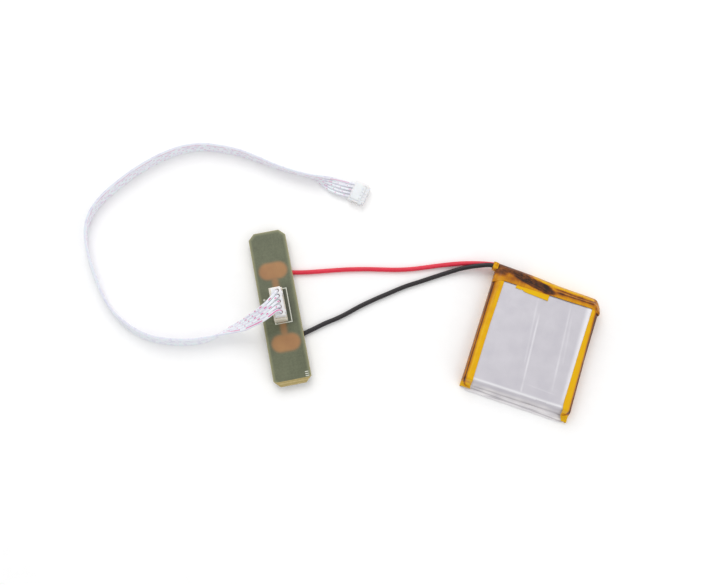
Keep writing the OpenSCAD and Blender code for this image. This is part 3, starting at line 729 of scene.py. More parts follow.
def makeFarPlug():
    # wires go in at -x and the mating face is at +x
    along, wide, thick = farLength / 2, 3.0, (farHigh.z - farLow.z) / mm / 2
    at = Matrix.Translation(farCentre) @ Matrix.Rotation(farTurn, 4, "Z")
    solid = ((-along, -wide, -thick), (along, wide, thick - 0.3))
    added = [((-along, 0.5 - wide, -thick + 0.1), (along - 1.1, wide - 0.5, thick))]
    removed = [((-along - 1, -wide - 1, thick - 0.75), (-along + 0.45, wide + 1, thick + 1)),
               ((along - 0.55, -wide - 1, -thick - 1), (along + 1, 0.45 - wide, thick + 1)),
               ((along - 0.55, wide - 0.45, -thick - 1), (along + 1, wide + 1, thick + 1)),
               ((-0.9, -wide - 1, -thick - 0.2), (0.6, 0.35 - wide, thick - 0.9)),
               ((-0.9, wide - 0.35, -thick - 0.2), (0.6, wide + 1, thick - 0.9))]
    for i in range(5):
        y = (i - 2) * farPitch
        removed.append(((0.4 - along, y - 0.33, -0.33), (along + 1, y + 0.33, 0.33)))
        removed.append(((-along - 1, y - 0.42, -0.42), (0.6 - along, y + 0.42, 0.42)))
        removed.append(((along - 1.75, y - 0.3, thick - 0.2), (along - 1.3, y + 0.3, thick + 1)))
        removed.append(((along - 0.9, y - 0.12, thick - 0.42), (along + 1, y + 0.12, thick + 1)))
    piece = moulded("farPlug", solid, added, removed, at, nylon("farPlugNylon", ["#ebe8e8", "#f4f2f2"], 0.15), 0.06)
    return placed(piece, "pack", "plug_nylon", "far_plug_housing")


def newTree(name, inputs):
    # an empty node tree with named inputs; gives back the tree, its inputs' sockets and their identifiers
    tree = bpy.data.node_groups.new(name, "GeometryNodeTree")
    keys = {given: tree.interface.new_socket(given, in_out="INPUT", socket_type="NodeSocket" + kind).identifier
            for given, kind in inputs.items()}
    tree.interface.new_socket("Result", in_out="OUTPUT", socket_type="NodeSocketGeometry")
    return tree, tree.nodes.new("NodeGroupInput").outputs, keys


def closeTree(tree, copies, material):
    # the copies become real meshes with their material
    whole = addNode(tree, "GeometryNodeRealizeInstances", {"Geometry": copies})
    done = addNode(tree, "GeometryNodeSetMaterial", {"Geometry": whole, "Material": material})
    addNode(tree, "NodeGroupOutput", {"Result": done})


def rowTree():
    # repeats the part along a line, with the middle of the row at the part's own place
    tree, given, keys = newTree("rowOfParts", {"Part": "Geometry", "Count": "Int", "Pitch": "Float",
                                               "Along": "Vector", "Finish": "Material"})
    step = addNode(tree, "VectorMath", {"operation": "SCALE", "Vector": given["Along"], "Scale": given["Pitch"]})
    halfWay = addNode(tree, "Math", {"operation": "MULTIPLY_ADD", 0: given["Count"], 1: -0.5, 2: 0.5})
    start = addNode(tree, "VectorMath", {"operation": "SCALE", "Vector": step, "Scale": halfWay})
    line = addNode(tree, "GeometryNodeMeshLine", {"Count": given["Count"], "Start Location": start, "Offset": step})
    row = addNode(tree, "GeometryNodeInstanceOnPoints", {"Points": line, "Instance": given["Part"]})
    closeTree(tree, row, given["Finish"])
    return tree, keys


def strandTree():
    # a bundle of thin wires laid round each other along X
    tree, given, keys = newTree("strandBundle", {"Geometry": "Geometry", "Strands": "Int", "Strand Radius": "Float",
                                                 "Bundle Radius": "Float", "Length": "Float", "Turns": "Float",
                                                 "Finish": "Material"})
    end = addNode(tree, "CombineXYZ", {"X": given["Length"]})
    line = addNode(tree, "GeometryNodeCurvePrimitiveLine", {"End": end})
    fine = addNode(tree, "GeometryNodeResampleCurve", {"Curve": line, "Count": 26})
    share = addNode(tree, "GeometryNodeSplineParameter")
    turned = addNode(tree, "Math", {"operation": "MULTIPLY", 0: share, 1: given["Turns"]})
    angle = addNode(tree, "Math", {"operation": "MULTIPLY", 0: turned, 1: 2 * math.pi})
    # the bundle tapers a little towards its cut end
    taper = addNode(tree, "MapRange", {"Value": share, "To Min": 1.0, "To Max": 0.8})
    reach = addNode(tree, "Math", {"operation": "MULTIPLY", 0: given["Bundle Radius"], 1: taper})
    sides = [addNode(tree, "Math", {"operation": "MULTIPLY", 0: reach,
                                    1: addNode(tree, "Math", {"operation": kind, 0: angle})})
             for kind in ("COSINE", "SINE")]
    moved = addNode(tree, "CombineXYZ", {"Y": sides[0], "Z": sides[1]})
    helix = addNode(tree, "GeometryNodeSetPosition", {"Geometry": fine, "Offset": moved})
    circle = addNode(tree, "GeometryNodeCurvePrimitiveCircle", {"Resolution": 8, "Radius": given["Strand Radius"]})
    wire = addNode(tree, "GeometryNodeCurveToMesh", {"Curve": helix, "Profile Curve": circle, "Fill Caps": True})
    places = addNode(tree, "GeometryNodeMeshLine", {"Count": given["Strands"], "Offset": (0, 0, 0)})
    number = addNode(tree, "GeometryNodeInputIndex")
    apart = addNode(tree, "Math", {"operation": "DIVIDE", 0: 2 * math.pi, 1: given["Strands"]})
    roll = addNode(tree, "Math", {"operation": "MULTIPLY", 0: number, 1: apart})
    turn = addNode(tree, "CombineXYZ", {"X": roll})
    lay = addNode(tree, "GeometryNodeInstanceOnPoints", {"Points": places, "Instance": wire, "Rotation": turn})
    closeTree(tree, lay, given["Finish"])
    return tree, keys


def grown(piece, tree, keys, values):
    # runs a node tree on a piece with these inputs and keeps the result as its mesh
    modifier = piece.modifiers.new(tree.name, "NODES")
    modifier.node_group = tree
    for name, value in values.items():
        modifier[keys[name]] = value
    return settle(piece)


partRow, partKeys = rowTree()
pinPost = {"width": 0.5, "low": 0.5, "high": 6.2, "tip": 0.3}
crimp = {"wide": 0.9, "slot": 0.6, "low": plugLow.z / mm + 0.2, "high": plugHigh.z / mm - 0.5, "neck": 2.7}
farCrimp = {"wide": 0.62, "slot": 0.36, "low": 0.5 - farLength / 2, "high": farLength / 2 - 0.3, "neck": 1.6}


def makeHeaderPins():
    # square posts with four-sided points at both ends
    half, low, high, tip = pinPost["width"] / 2, pinPost["low"], pinPost["high"], pinPost["tip"]
    rows = [[(x * r, y * r, z) for x, y in ((1, 1), (-1, 1), (-1, -1), (1, -1))]
            for z, r in ((low, half * 0.5), (low + tip, half), (high - tip, half), (high, half * 0.4))]
    piece = makePiece("headerPins", *loft(rows, closed=True, caps=True), [], False)
    outward(piece)
    grown(piece, partRow, partKeys, {"Count": 5, "Pitch": pinPitch * mm, "Along": (0, 1, 0), "Finish": tinPlate})
    piece.data.transform(Matrix.Scale(mm, 4) @ atPins @ Matrix.Scale(1 / mm, 4))
    return placed(piece, "pack", "contact_metal", "header_pins")


def crimpShell(settings):
    # one folded contact along Z: a square sleeve that closes to a round barrel on the wire
    half, low, high, neck = settings["wide"] / 2, settings["low"], settings["high"], settings["neck"]
    sections = [(low, half, 5), (low + neck, half, 5), (low + neck + 0.3, half * 0.8, 2.4),
                (high - 0.1, half * 0.92, 2), (high, half, 2)]
    inner = [(z, r - (half - settings["slot"] / 2), power) for z, r, power in reversed(sections)]
    rows = []
    for z, r, power in sections + inner + sections[:1]:
        row = []
        for a in np.linspace(0, 2 * math.pi, 24, endpoint=False):
            c, s = math.cos(a), math.sin(a)
            stretch = (abs(c) ** power + abs(s) ** power) ** (-1 / power)
            row.append((r * c * stretch, r * s * stretch, z))
        rows.append(row)
    return rows


def makeContacts(name, settings, pitch, place, body, node):
    piece = makePiece(name, *loft(crimpShell(settings), closed=True), [])
    outward(piece)
    grown(piece, partRow, partKeys, {"Count": 5, "Pitch": pitch * mm, "Along": (0, 1, 0), "Finish": bronze})
    piece.data.transform(Matrix.Scale(mm, 4) @ place @ Matrix.Scale(1 / mm, 4))
    return placed(piece, body, "contact_metal", node)


# tin over brass: pale, slightly warm, and phosphor bronze strip: warm yellow-brown with roll lines
tinPlate = finish("tinPlatedBrass", ["#b5ab94", "#d2c9b4"], 0.25, 0.2, 0.005, metallic=1)
bronze = finish("phosphorBronze", ["#b08b5e", "#cfa976"], 0.3, 0.2, 0.01, stretch=(1, 1, 0.2), metallic=1)
farTurned = Matrix.Translation(farCentre) @ Matrix.Rotation(farTurn, 4, "Z") @ Matrix.Rotation(math.pi / 2, 4, "Y")
makeHeader()
makePlug()
makeHeaderPins()
makeContacts("plugContacts", crimp, pinPitch, atPins, "board_plug", "plug_terminals")
farPlug = makeFarPlug()
farContacts = makeContacts("farPlugContacts", farCrimp, farPitch, farTurned @ Matrix.Rotation(math.pi, 4, "X"), "pack",
                           "far_plug_terminals")

strand = {"count": 7, "radius": 0.117, "bundle": 0.233, "length": 2.2, "turns": 0.9}


def makeStrands():
    # the stripped lead ends: seven tinned strands with a slow twist, one bundle at each end of each lead
    tree, keys = strandTree()
    one = makePiece("leadStrands", [(0, 0, 0)], [], [])
    tinned = finish("tinnedCopperStrands", ["#b4b4b2", "#d2d2cf"], 0.28, 0.15, 0.01, metallic=1)
    grown(one, tree, keys, {"Strands": strand["count"], "Strand Radius": strand["radius"] * mm,
                            "Bundle Radius": strand["bundle"] * mm, "Length": strand["length"] * mm,
                            "Turns": strand["turns"], "Finish": tinned})
    whole = bmesh.new()
    for route in (redRoute, blackRoute):
        for tip, before in ((0, 1), (-1, -2)):
            out = Vector(route[tip]) - Vector(route[before])
            out.z = 0
            at = Matrix.Translation(Vector(route[tip])) @ out.to_track_quat("X", "Z").to_matrix().to_4x4()
            copy = one.data.copy()
            copy.transform(at)
            whole.from_mesh(copy)
            bpy.data.meshes.remove(copy)
    whole.to_mesh(one.data)
    whole.free()
    for face in one.data.polygons:
        face.use_smooth = True
    return placed(one, "pack", "tinned_copper", "tinned_lead_ends")


makeStrands()
print("connectors ready")


# cell

cupLow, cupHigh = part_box("pouch_cup")
cell = {"left": 14.2, "right": 13.75, "lip": 0.45, "bottom": -15.55, "top": 14.0, "rim": 0.42,
        "height": cupHigh.z / mm - 0.42, "corner": 1.3, "columns": 190, "rows": 130, "wall": 0.18,
        "foldEnds": [(-14.2, -17.25), (-13, -17.75), (0, -17.9), (12.8, -18.1), (14.2, -17.5)]}
# long embossed lines on the face, raised and given a painted highlight: lower end, upper end, strength
faceLines = [((-0.75, -6.8), (-1.95, 11.2), 0.45), ((0.45, -15.2), (-0.6, 7.6), 0.9),
             ((8.1, -11.6), (6.9, 12.3), 0.55), ((8.9, -4.2), (7.9, 9.4), 0.25)]


def besideLine(x, y, line):
    # distance from a line and how much of its ends it has faded
    (x0, y0), (x1, y1), strength = line
    t = (y - y0) / (y1 - y0)
    away = abs(x - (x0 + t * (x1 - x0)))
    return away, strength * smooth(-0.04, 0.08, t) * (1 - smooth(0.85, 1.06, t))


# how strongly a point lies on one of the lines: it raises the face and sets the painted highlight there
def lineShade(x, y, z):
    shade = 0
    for i, line in enumerate(faceLines):
        away, there = besideLine(x, y, line)
        shade = max(shade, there * (0.75 + 0.5 * wobble(x, y, i * 9, 3.5)) * hump(away, 0, 0.2))
    # one faint line across near the lower end
    return max(shade, 0.3 * math.exp(-((y + 11.9 + 0.05 * x) / 0.15) ** 2) * smooth(1, 3, x) * (1 - smooth(8, 9.5, x)))


def wallShare(x, y):
    # 0 outside the cup, 1 on its face, falling steeply over the shoulder
    side = (cell["left"] if x < 0 else cell["right"]) - abs(x)
    foot = (y - cell["bottom"]) + 0.25 * wobble(x, 0, 3, 5)
    head = cell["top"] - y
    inside = min(side, head)
    near = cell["corner"]
    if inside < near and foot < near:
        inside = near - math.hypot(near - inside, near - foot)
    else:
        inside = min(inside, foot)
    steep = smooth(-0.55, 0.5, inside) * 0.8
    crown = 0.2 * (1 - (1 - min(1, max(0, (inside + 0.1) / 1.5))) ** 2)
    return min(1, steep + crown)


def foldShade(x, y):
    # creases of the folded end: long shallow diagonals that close towards the right, sunk into the film and darkened
    # with painted shade
    outer = lookup(x, cell["foldEnds"])
    share = (y + 15.9) / (outer + 15.9)
    first = hump(share, 0.42 + 0.016 * (x + 14), 0.07) * (0.7 + 0.3 * wobble(x, 0, 1, 3))
    second = hump(share, 0.08 + 0.06 * wobble(x, 0, 5, 6), 0.07) * (0.6 + 0.4 * wobble(x, 0, 7, 4))
    second *= smooth(-13, -10, x)
    third = 0.7 * hump(share, 0.72 - 0.012 * (x + 4), 0.05) * smooth(-9, -5, x) * (1 - smooth(4, 10, x))
    return max(first, third), second


def makeCup():
    rows = []
    for j in range(cell["rows"] + 1):
        v = j / cell["rows"]
        row = []
        for i in range(cell["columns"] + 1):
            t = 2 * i / cell["columns"] - 1
            x = (cell["left"] if t < 0 else cell["right"]) * t + cell["lip"] * t ** 9
            endY = lookup(x, cell["foldEnds"])
            # rows crowd at the folded end
            y = endY + (cell["top"] + 0.12 - endY) * (0.55 * v + 0.45 * v ** 2.2)
            share = wallShare(x, y)
            z = cell["rim"] + cell["height"] * share
            if share < 0.5:
                one, two = foldShade(x, y)
                z += 0.25 * wobble(x * 0.5, y * 2.5, 0, 1.6) - 0.3 * one - 0.22 * two
                z = max(z, 0.35)
            else:
                # the face: slightly full in the middle, ridges along the lines, faint unevenness
                full = 0.09 * (1 - (x / 14.2) ** 2) * (1 - ((y + 0.9) / 15) ** 2)
                sunk = 0.05 * smooth(-1.5, 0.6, x) * (1 - smooth(7.2, 8.8, x))
                z += share * (full - sunk + 0.07 * lineShade(x, y, 0) + 0.03 * wobble(x, y, 5, 4.5)
                              + 0.012 * wobble(x, y, 8, 0.9)) - 0.06
            row.append((x, y, z))
        rows.append(row)
    points, faces = loft(rows)
    piece = makePiece("pouchCup", points, faces, [pouchFoil("pouchFoil", True)])
    addModifier(piece, "SOLIDIFY", thickness=cell["wall"] * mm, offset=-1)
    settle(piece)
    # painted highlight along the ridges and where the shoulder turns at the lower and right edges
    setMask(piece, "ridge", lambda x, y, z: max(lineShade(x, y, z), 1.6 * hump(y, cell["bottom"] + 0.75, 0.3),
                                                1.3 * smooth(10.5, 12, x) * smooth(-15, -12, y)) if z > 4.3 else 0)
    # painted shade in the creases of the folded end, low on the cup only
    setMask(piece, "creaseShade", lambda x, y, z: max(foldShade(x, y)) if z < 3 else 0)
    setMask(piece, "thin", lambda x, y, z: (1 - smooth(0.8, 3.4, z)) * (0.8 + 0.4 * wobble(x * 0.5, y, 3, 1.5)))
    return placed(piece, "pack", "pouch_laminate", "pouch_cup")


def pouchFoil(name, creased):
    # aluminium laminate under clear nylon: satin silver-grey, finely embossed by the drawing press
    material, tree, shader = newMaterial(name, metallic=0.35, coat=0.15, coatRoughness=0.3)
    place = addNode(tree, "TexCoord", {}, "Object")
    # press grain about 0.35 mm across, and clouding over a few millimetres
    grain = addNode(tree, "TexNoise", {"Vector": place, "Scale": 2900, "Detail": 2})
    cloud = addNode(tree, "TexNoise", {"Vector": place, "Scale": 240, "Detail": 4})
    tone = addNode(tree, "ValToRGB", {"stops": [(0.3, "#c4c1c9"), (0.5, "#c8c5cc"), (0.7, "#ccc9d0")], "Fac": cloud})
    if creased:
        # painted highlight on the ridges, painted shade in the creases, and a folded end of clear film over foil, paler
        # and less metallic
        tone = paintOver(tree, tone, [("ridge", 0.5, linear("#fbfafd")), ("thin", 1, linear("#f0edee")),
                                      ("creaseShade", 0.8, linear("#77717a"))])
        thin = addNode(tree, "Attribute", {"attribute_name": "thin"}, "Fac")
        setInputs(shader, {"Metallic": addNode(tree, "MapRange", {"Value": thin, "To Min": 0.35, "To Max": 0.0})})
    rough = addNode(tree, "MapRange", {"Value": cloud, "To Min": 0.36, "To Max": 0.5})
    raised = addNode(tree, "Bump", {"Height": grain, "Strength": 0.35, "Distance": 0.012 * mm})
    setInputs(shader, {"Base Color": tone, "Roughness": rough, "Normal": raised})
    return material


cover = {"left": -14.68, "right": 14.08, "seam": 3.45, "under": 0.1, "wall": 0.08}


def makeCover():
    # the flat sheet under the cell: its seams fold up both sides and lie flat again at the folded end
    rows = []
    for y in np.arange(-17.9, 16.05, 0.3):
        up = cover["seam"] * smooth(-16.3, -15.2, y) * (1 - 0.75 * smooth(12.6, 13.6, y))
        low = cover["under"]
        seam = low + 0.12 + up
        left, right = cover["left"] + 0.5 * smooth(13, 15, y), cover["right"] - 0.5 * smooth(13, 15, y)
        row = [(left, y, seam - (seam - low - 0.12) * t + 0.02) for t in np.linspace(0, 1, 9)]
        row += [(left + 0.05, y, low + 0.05), (left + 0.16, y, low)]
        row += [(x, y, low + 0.02 * wobble(x, y, 0, 4) * smooth(0, 2, min(x - left, right - x)))
                for x in np.linspace(left + 0.4, right - 0.4, 60)]
        row += [(right - 0.16, y, low), (right - 0.05, y, low + 0.05)]
        row += [(right, y, low + 0.14 + (seam - low - 0.12) * t) for t in np.linspace(0, 1, 9)]
        rows.append([(x, max(y, lookup(x, cell["foldEnds"]) + 0.12) if y < -17 else y, z + 0.03 * wobble(x, y, z, 1.8)
                      * (z > 0.4)) for x, y, z in row])
    points, faces = loft(rows)
    piece = makePiece("pouchCover", points, faces, [pouchFoil("pouchFoilFlat", False)])
    # the sheet's outer side looks down and outwards
    for face in piece.data.polygons:
        face.flip()
    addModifier(piece, "SOLIDIFY", thickness=cover["wall"] * mm, offset=-1)
    settle(piece)
    return placed(piece, "pack", "pouch_laminate", "pouch_cover")


makeCup()
makeCover()
print("pouch ready")


# polyimide tape

def tapeFilm(name):
    # polyimide film on silver foil: bright yellow where it lies flat, amber and brown where layers or shade gather
    material, tree, shader = newMaterial(name, coat=0.03, coatRoughness=0.15, specular=0.16)
    place = addNode(tree, "TexCoord", {}, "Object")
    depth = addNode(tree, "Attribute", {"attribute_name": "depth"}, "Fac")
    # pulled lengthwise streaks, 0.4 mm apart, and clouding of 2 mm
    drawn = addNode(tree, "Mapping", {"Vector": place, "Scale": (1, 0.14, 1)})
    streak = addNode(tree, "TexNoise", {"Vector": drawn, "Scale": 2200, "Detail": 3})
    cloud = addNode(tree, "TexNoise", {"Vector": place, "Scale": 480, "Detail": 4})
    drift = addNode(tree, "Math", {"operation": "MULTIPLY_ADD", 0: streak, 1: 0.22, 2: -0.11})
    blotch = addNode(tree, "Math", {"operation": "MULTIPLY_ADD", 0: cloud, 1: 0.28, 2: -0.14})
    level = addNode(tree, "Math", {"operation": "ADD", 0: depth, 1: drift})
    level = addNode(tree, "Math", {"operation": "ADD", 0: level, 1: blotch})
    tone = addNode(tree, "ValToRGB", {"stops": [(0.0, "#e2b500"), (0.2, "#dfa904"), (0.4, "#c58212"),
                                                (0.58, "#a05d18"), (0.76, "#70401f"), (1.0, "#33241f")], "Fac": level})
    rough = addNode(tree, "MapRange", {"Value": cloud, "To Min": 0.2, "To Max": 0.4})
    raised = addNode(tree, "Bump", {"Height": streak, "Strength": 0.5, "Distance": 0.03 * mm})
    setInputs(shader, {"Base Color": tone, "Roughness": rough, "Normal": raised})
    return material


tape = tapeFilm("polyimideTape")
tapeThickness = 0.05


def tapePiece(name, rows, node, depth, closed=False):
    # film through rows of points, a tube's thickness inwards; depth says how dark each of its points looks, from the
    # film's own tone and painted shade
    piece = outward(makePiece(name, *loft(rows, closed), [tape]))
    addModifier(piece, "SOLIDIFY", thickness=tapeThickness * mm, offset=-1 if closed else 0)
    setMask(settle(piece), "depth", depth)
    return placed(piece, "pack", "polyimide_tape", node)


sideTapes = {"side_tape_left": {"side": -1, "grip": [(-17.2, 12.15), (-15, 12.45), (0, 12.4), (13.5, 12.0)],
                                "reach": [(-17, 15.1), (-5, 15.05), (13, 14.95)], "tuck": 14.55, "deep": 0.2,
                                "seed": 4.0, "end": -17.1, "near": 0.2, "shoulder": 0.26},
             "side_tape_right": {"side": 1, "grip": [(-17.8, 13.1), (-16.5, 12.5), (-15.2, 11.95), (-14, 11.75),
                                                     (0, 12.05), (13.5, 12.5)],
                                 "reach": [(-17.5, 14.45), (0, 14.35), (13, 14.6)], "tuck": 14.0, "deep": 0.12,
                                 "seed": 21.0, "end": -17.75, "near": 0.16, "shoulder": 0.4}}


# section of a side tape from its edge on the face, over the shoulder, down and under: (distance out, height)
tapeSection = smoothPath([(12, 4.93, 0), (12.5, 4.96, 0), (13.2, 4.95, 0), (13.7, 4.84, 0), (14.1, 4.6, 0),
                          (14.45, 4.22, 0), (14.75, 3.9, 0), (14.93, 3.4, 0), (14.98, 2.7, 0), (14.97, 1.8, 0),
                          (14.96, 0.7, 0), (14.88, 0.22, 0), (14.6, 0.07, 0), (13.6, 0.06, 0), (12.4, 0.06, 0),
                          (11.25, 0.06, 0)], 0.16)[:, :2]


def makeSideTape(node, settings):
    side = settings["side"]
    rows = []
    for y in np.arange(settings["end"], 13.9, 0.25):
        grip = lookup(y, settings["grip"]) + 0.05 * wobble(y, 0, settings["seed"], 1.3)
        reach = lookup(y, settings["reach"])
        fall = 1 - smooth(-16.6, -15.2, y)
        row = []
        for out, z in tapeSection:
            ripple = 0.04 * wobble(out * 1.5, y * 0.35, settings["seed"], 1.0)
            # both edges of the section are moved to where this piece has them
            if z > 3:
                share = min(1, (out - 12) / 3)
                out = grip + share * (reach - grip)
                high = z + ripple - settings["deep"] * hump(out, settings["tuck"], 0.12) - 0.1 * smooth(12.6, 13.4, y)
            else:
                out = out * reach / 14.98 if out > 14.5 else out
                high = z + (ripple * 0.5 if z > 0.5 else 0)
            # past the cell's corner the film drops and its two faces meet in a flat tab
            low = z if z < 0.3 else 0.72 + 0.06 * z + 0.1 * wobble(out, y, 2, 1.2)
            high = high * (1 - fall) + low * fall
            row.append((side * out, y, max(high, 0.05)))
        rows.append(row)

    def depth(x, y, z):
        # how dark the film looks: yellow with foil close under it, amber over the shoulder, and painted shade as brown
        # lines where it gapes
        out, tuck, reach = abs(x), settings["tuck"], lookup(y, settings["reach"])
        shade = settings["near"] + settings["shoulder"] * smooth(tuck - 0.75, tuck - 0.1, out)
        shade += 0.16 * smooth(-2, 12, y) * smooth(12.6, 13.8, out)
        if z < 3.3:
            shade = 0.5 + 0.14 * wobble(x, y, z, 3)
        if z < 0.3:
            shade = 0.12
        fall = 1 - smooth(-16.4, -15.5, y)
        shade = shade * (1 - fall) + 0.1 * fall
        # painted shade: brown lines in the tuck where the film gapes and along its outer edge
        shade += 0.5 * hump(out, tuck, 0.1) * (z > 2) * (1 - fall)
        shade += 0.4 * hump(out, reach, 0.16) * (z > 2) * (1 - fall) * (0.6 + 0.4 * wobble(0, y, 6, 3))
        # painted shade: a brown arc inside the tab where the cell's rounded corner is shaded
        arc = math.hypot(max(0, out - 12.9), max(0, -15.1 - y)) - (tuck - 12.9)
        shade += 0.45 * hump(arc, 0, 0.18) * smooth(12.2, 13, out) * (1 - smooth(-15.2, -14.7, y))
        return min(1, shade)

    return tapePiece("sideTapeLeft" if side < 0 else "sideTapeRight", rows, node, depth)


for node, settings in sideTapes.items():
    makeSideTape(node, settings)


wrap = {"mouth": 13.1, "rings": 32, "closing": 4, "around": 150,
        "end": [(-15.0, 17.8), (-4.7, 17.35), (3.1, 16.7), (13.0, 16.35), (13.6, 16.05), (14.8, 14.3)]}


def wrapTop(x, v):
    # height of the film's upper face from its mouth, v 0, to its outer end, v 1
    middle = lookup(v, [(0, 4.99), (0.25, 4.96), (0.5, 4.6), (0.85, 4.05), (1, 3.4)])
    # it falls over the cell's shoulders and lies low at the right corner
    away = abs(x)
    return middle - 0.75 * smooth(13.5, 15, away) - 0.5 * smooth(9, 14, x) * smooth(0.3, 1, v)


def wrapCreases(x, v):
    # folds in the film: one long ridge to the right, fans at both ends
    ridge = 0.2 * math.exp(-((v - 0.46 - 0.1 * wobble(x, 0, 3, 6)) / 0.07) ** 2) * smooth(1, 4, x)
    left = 0.1 * wobble(x * 2.2 + v * 3, v * 4, 11, 1.6) * (1 - smooth(-11, -7, x))
    fan = 0.16 * math.sin(7 * math.atan2(v * 3 - 0.4, 15.6 - x)) * smooth(11.5, 13.2, x)
    return ridge + left + fan + 0.07 * wobble(x * 0.8, v * 5, 6, 1.1)


def makeWrap():
    rows = []
    for k in range(wrap["rings"] + 1):
        # the last rings draw the outer end in to a seam
        v = min(1, k / (wrap["rings"] - wrap["closing"]))
        open = min(1, (wrap["rings"] - k) / wrap["closing"])
        row = []
        for i in range(wrap["around"]):
            turn = 2 * math.pi * i / wrap["around"]
            # a flat section, nearly square at the sides
            cx, cz = math.cos(turn), math.sin(turn)
            x = max(-1, min(1, 1.25 * cx)) * (15 if cx < 0 else 14.8)
            upper = wrapTop(x, v)
            middle = upper / 2
            z = middle + middle * max(-1, min(1, cz * 1.9)) * open
            # the outer end leans out over the circuit and comes back at the bottom
            endY = lookup(x, wrap["end"]) + 0.31 * min(2.3, max(0, 3.4 - z)) - 0.25 * (1 - smooth(0.1, 0.9, z))
            mouth = wrap["mouth"] - (0.9 * smooth(12.2, 15, abs(x)) + 0.12 * wobble(x, 0, 2, 2.5)) * (cz > 0)
            y = mouth + v * (endY - mouth) + 0.15 * (1 - open)
            if cz > 0:
                lift = wrapCreases(x, v) * smooth(0.0, 0.15, v) * min(1, cz * 2) * open
                z += lift if abs(x) < 14.6 else 0.4 * lift
            row.append((x, y, max(z, 0.05)))
        rows.append(row)
    return tapePiece("endWrap", rows, "top_wrap_tape", wrapShade, closed=True)


def wrapShade(x, y, z):
    # dark where the circuit shows through, brown at the left and in the folds, yellow along the outer rim
    endY = lookup(x, wrap["end"])
    v = (y - wrap["mouth"]) / (endY - wrap["mouth"])
    if z < 0.4:
        return 0.2
    shade = 0.5 + 0.2 * wobble(x, y, 1, 1.7)
    shade += (0.16 + 0.16 * wobble(x * 1.5, y * 3, 4, 1.2)) * (1 - smooth(-12, -4, x)) * smooth(0.15, 0.5, v)
    # rim and inner strip lie on bare foil
    rim = smooth(0.7, 0.78, v) * smooth(-5.2, -4.6, x) * (1 - smooth(12.3, 13.2, x))
    shade = shade * (1 - rim) + (0.2 + 0.12 * wobble(x, y, 4, 1.5)) * rim
    strip = (1 - smooth(0.1, 0.34, v)) * (0.4 + 0.4 * smooth(-9, 2, x))
    shade = shade * (1 - strip) + 0.3 * strip
    # the circuit: a long wedge that slants from the outer edge to the face, streaked where the film clings
    middle = 16.15 - 0.2 * (x + 9)
    half = lookup(x, [(-12.5, 0.5), (-8, 1.15), (-4, 1.45), (0, 1.25), (2.3, 0.2)])
    inside = half - abs(y - middle)
    dark = smooth(-0.3, 0.3, inside) * smooth(-12.5, -7.5, x) * (1 - smooth(1.2, 2.6, x))
    streak = wobble(x * 0.5 + y * 1.9, y * 3.2 - x * 0.35, 9, 0.6) + 0.5 * wobble(x * 1.4, y * 5 + x * 0.6, 2, 0.7)
    shade += dark * (0.36 + 0.22 * smooth(-6, 0, x) + 0.42 * streak)
    # two brown folds run on from it to the right
    for along, wide, strength in ((0.4, 0.06, 0.34), (0.62, 0.05, 0.3)):
        shade += strength * hump(v, along + 0.05 * wobble(x, 0, along * 9, 4), wide) * smooth(1, 3.5, x)
    corner = smooth(12.3, 13.6, x)
    shade = shade * (1 - corner) + (0.46 + 0.3 * wobble(x * 2, y, 8, 1.0)) * corner
    shade += 0.24 * hump(v, 1, 0.06)
    return min(1, max(0, shade))


makeWrap()


def makeTapeTab():
    # torn end of a tape that holds the wrap down on the face
    front = [(-8.65, 12.15), (-8.2, 12.25), (-7.5, 12.1), (-6.9, 12.25), (-6.2, 11.95), (-5.6, 11.8), (-3, 11.65),
             (0.55, 11.4)]
    rows = []
    for x in np.arange(-8.65, 0.6, 0.18):
        near = lookup(x, front) + 0.05 * wobble(x, 1, 1, 0.5)
        rows.append([(x + 0.08 * t, near + (13.25 - near) * t,
                      4.965 + 0.03 * wobble(x, t * 2, 3, 1.4) - 0.02 * t) for t in np.linspace(0, 1, 9)])
    return tapePiece("tapeTab", rows, "tape_tab",
                     lambda x, y, z: 0.05 + 0.1 * wobble(x, y, 2, 2) + 0.2 * smooth(12.7, 13.1, y))


makeTapeTab()


def makeCollar():
    # a turn of tape round the leads where they leave the wrap
    low, high = collarLow / mm, collarHigh / mm
    middle = (low + high) / 2
    rows = []
    for k in range(11):
        v = k / 10
        row = []
        for i in range(48):
            a = 2 * math.pi * i / 48
            wide = (high.y - low.y) / 2 * (0.8 + 0.08 * math.sin(v * 3))
            tall = (high.z - low.z) / 2 * (0.86 + 0.1 * math.sin(v * 3 + 1))
            c, s = math.cos(a), math.sin(a)
            y = middle.y + wide * math.copysign(abs(c) ** 0.6, c)
            z = middle.z + tall * math.copysign(abs(s) ** 0.6, s)
            x = low.x + 0.05 + v * (high.x + 0.35 - low.x) + 0.14 * wobble(y, z, 3, 0.8) * (1 - v)
            row.append((x, y + 0.06 * wobble(x * 3, a * 2, 1, 1), z + 0.06 * wobble(x * 3, a * 2, 9, 1)))
        rows.append(row)
    return tapePiece("leadCollar", rows, "lead_exit_collar",
                     lambda x, y, z: 0.3 + 0.25 * wobble(x * 2, y, z, 0.8), closed=True)


makeCollar()
print("tapes ready")


# finishes of the parts that keep their own shape

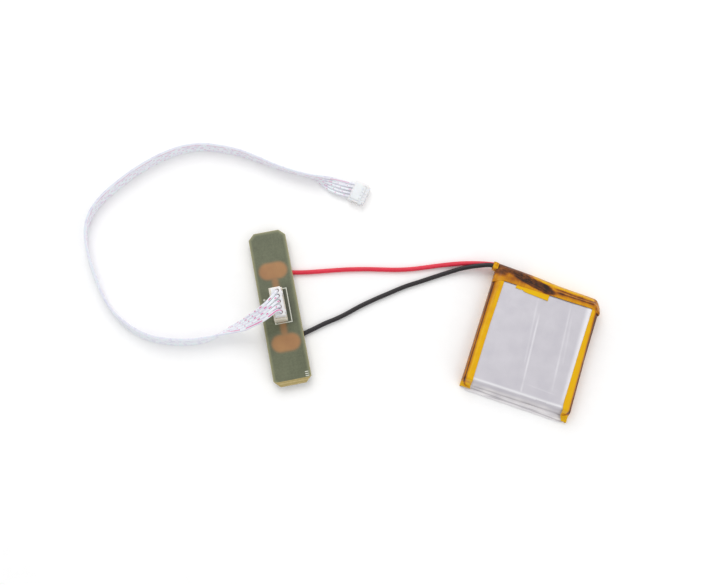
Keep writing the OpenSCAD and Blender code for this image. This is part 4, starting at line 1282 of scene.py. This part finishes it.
nodeFinishes = {
    # coated foils: matt, faintly granular
    "anode_winding": ("graphiteFoil", ["#3a302b", "#4a3c34"], 0.7, 0.2, 0.02, {"metallic": 0.3}),
    "cathode_winding": ("cathodeFoil", ["#2b2b2f", "#38383d"], 0.65, 0.2, 0.02, {"metallic": 0.3}),
    # porous polymer film: white, silky
    "separator_winding": ("separatorFilm", ["#ececec", "#f8f8f6"], 0.45, 0.3, 0.01, {"sheen": 0.1}),
    # rolled strip: fine lines along the roll
    "positive_tab": ("rolledAluminium", ["#c4c6c8", "#d8dadc"], 0.35, 0.2, 0.01, {"metallic": 1}),
    "negative_tab": ("rolledNickel", ["#b4b1aa", "#cac7c0"], 0.32, 0.2, 0.01, {"metallic": 1}),
    "tab_weld_plates": ("platedNickel", ["#b0aea8", "#c8c6c0"], 0.3, 0.2, 0.015, {"metallic": 1}),
    "tab_seal_films": ("sealFilm", ["#e4e2da", "#f2f0ea"], 0.4, 0.4, 0.01, {"coat": 0.1}),
    # fish paper: fibrous and matt
    "insulating_paper": ("fishPaper", ["#b59c74", "#cdb68e"], 0.85, 0.4, 0.04, {"specular": 0.2}),
    # solder mask over glass laminate: dark green, satin
    "protection_board": ("greenMaskLaminate", ["#1d4a2e", "#2a5f3c"], 0.4, 0.4, 0.01, {"coat": 0.2}),
    # moulded epoxy: dull black with a fine grain
    "protection_mosfet": ("mouldedEpoxy", ["#1b1918", "#2a2726"], 0.6, 0.12, 0.01, {}),
    "protection_ic": ("mouldedEpoxyFine", ["#1b1918", "#2a2726"], 0.55, 0.1, 0.01, {}),
    # fired glaze: black and glossy; bare ceramic: tan and dull
    "chip_resistors": ("resistorGlaze", ["#17171b", "#25252b"], 0.3, 0.2, 0.005, {"coat": 0.4}),
    "chip_capacitors": ("capacitorCeramic", ["#8f6e49", "#ac8a60"], 0.5, 0.15, 0.01, {}),
    # bare copper under flux: warm, slightly tarnished in patches
    "copper_pads": ("tarnishedCopper", ["#9a5f3c", "#b9764c", "#c98a5c"], 0.4, 0.5, 0.01, {"metallic": 1}),
    # printed epoxy ink: chalky white, thin at its edges
    "silkscreen_marks": ("legendInk", ["#c6c8ba", "#dcddd2"], 0.7, 0.15, 0.01, {}),
}
materials = {node: finish(*settings[:-1], **settings[-1]) for node, settings in nodeFinishes.items()}
for joint in ("lead", "pad", "header"):
    materials[joint + "_solder_joints"] = solderFinish(joint + "Solder")
for node, material in materials.items():
    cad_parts[node].data.materials.clear()
    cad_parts[node].data.materials.append(material)
print("finishes ready")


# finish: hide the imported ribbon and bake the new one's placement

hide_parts("ribbon_cable")
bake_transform(ribbonCable)
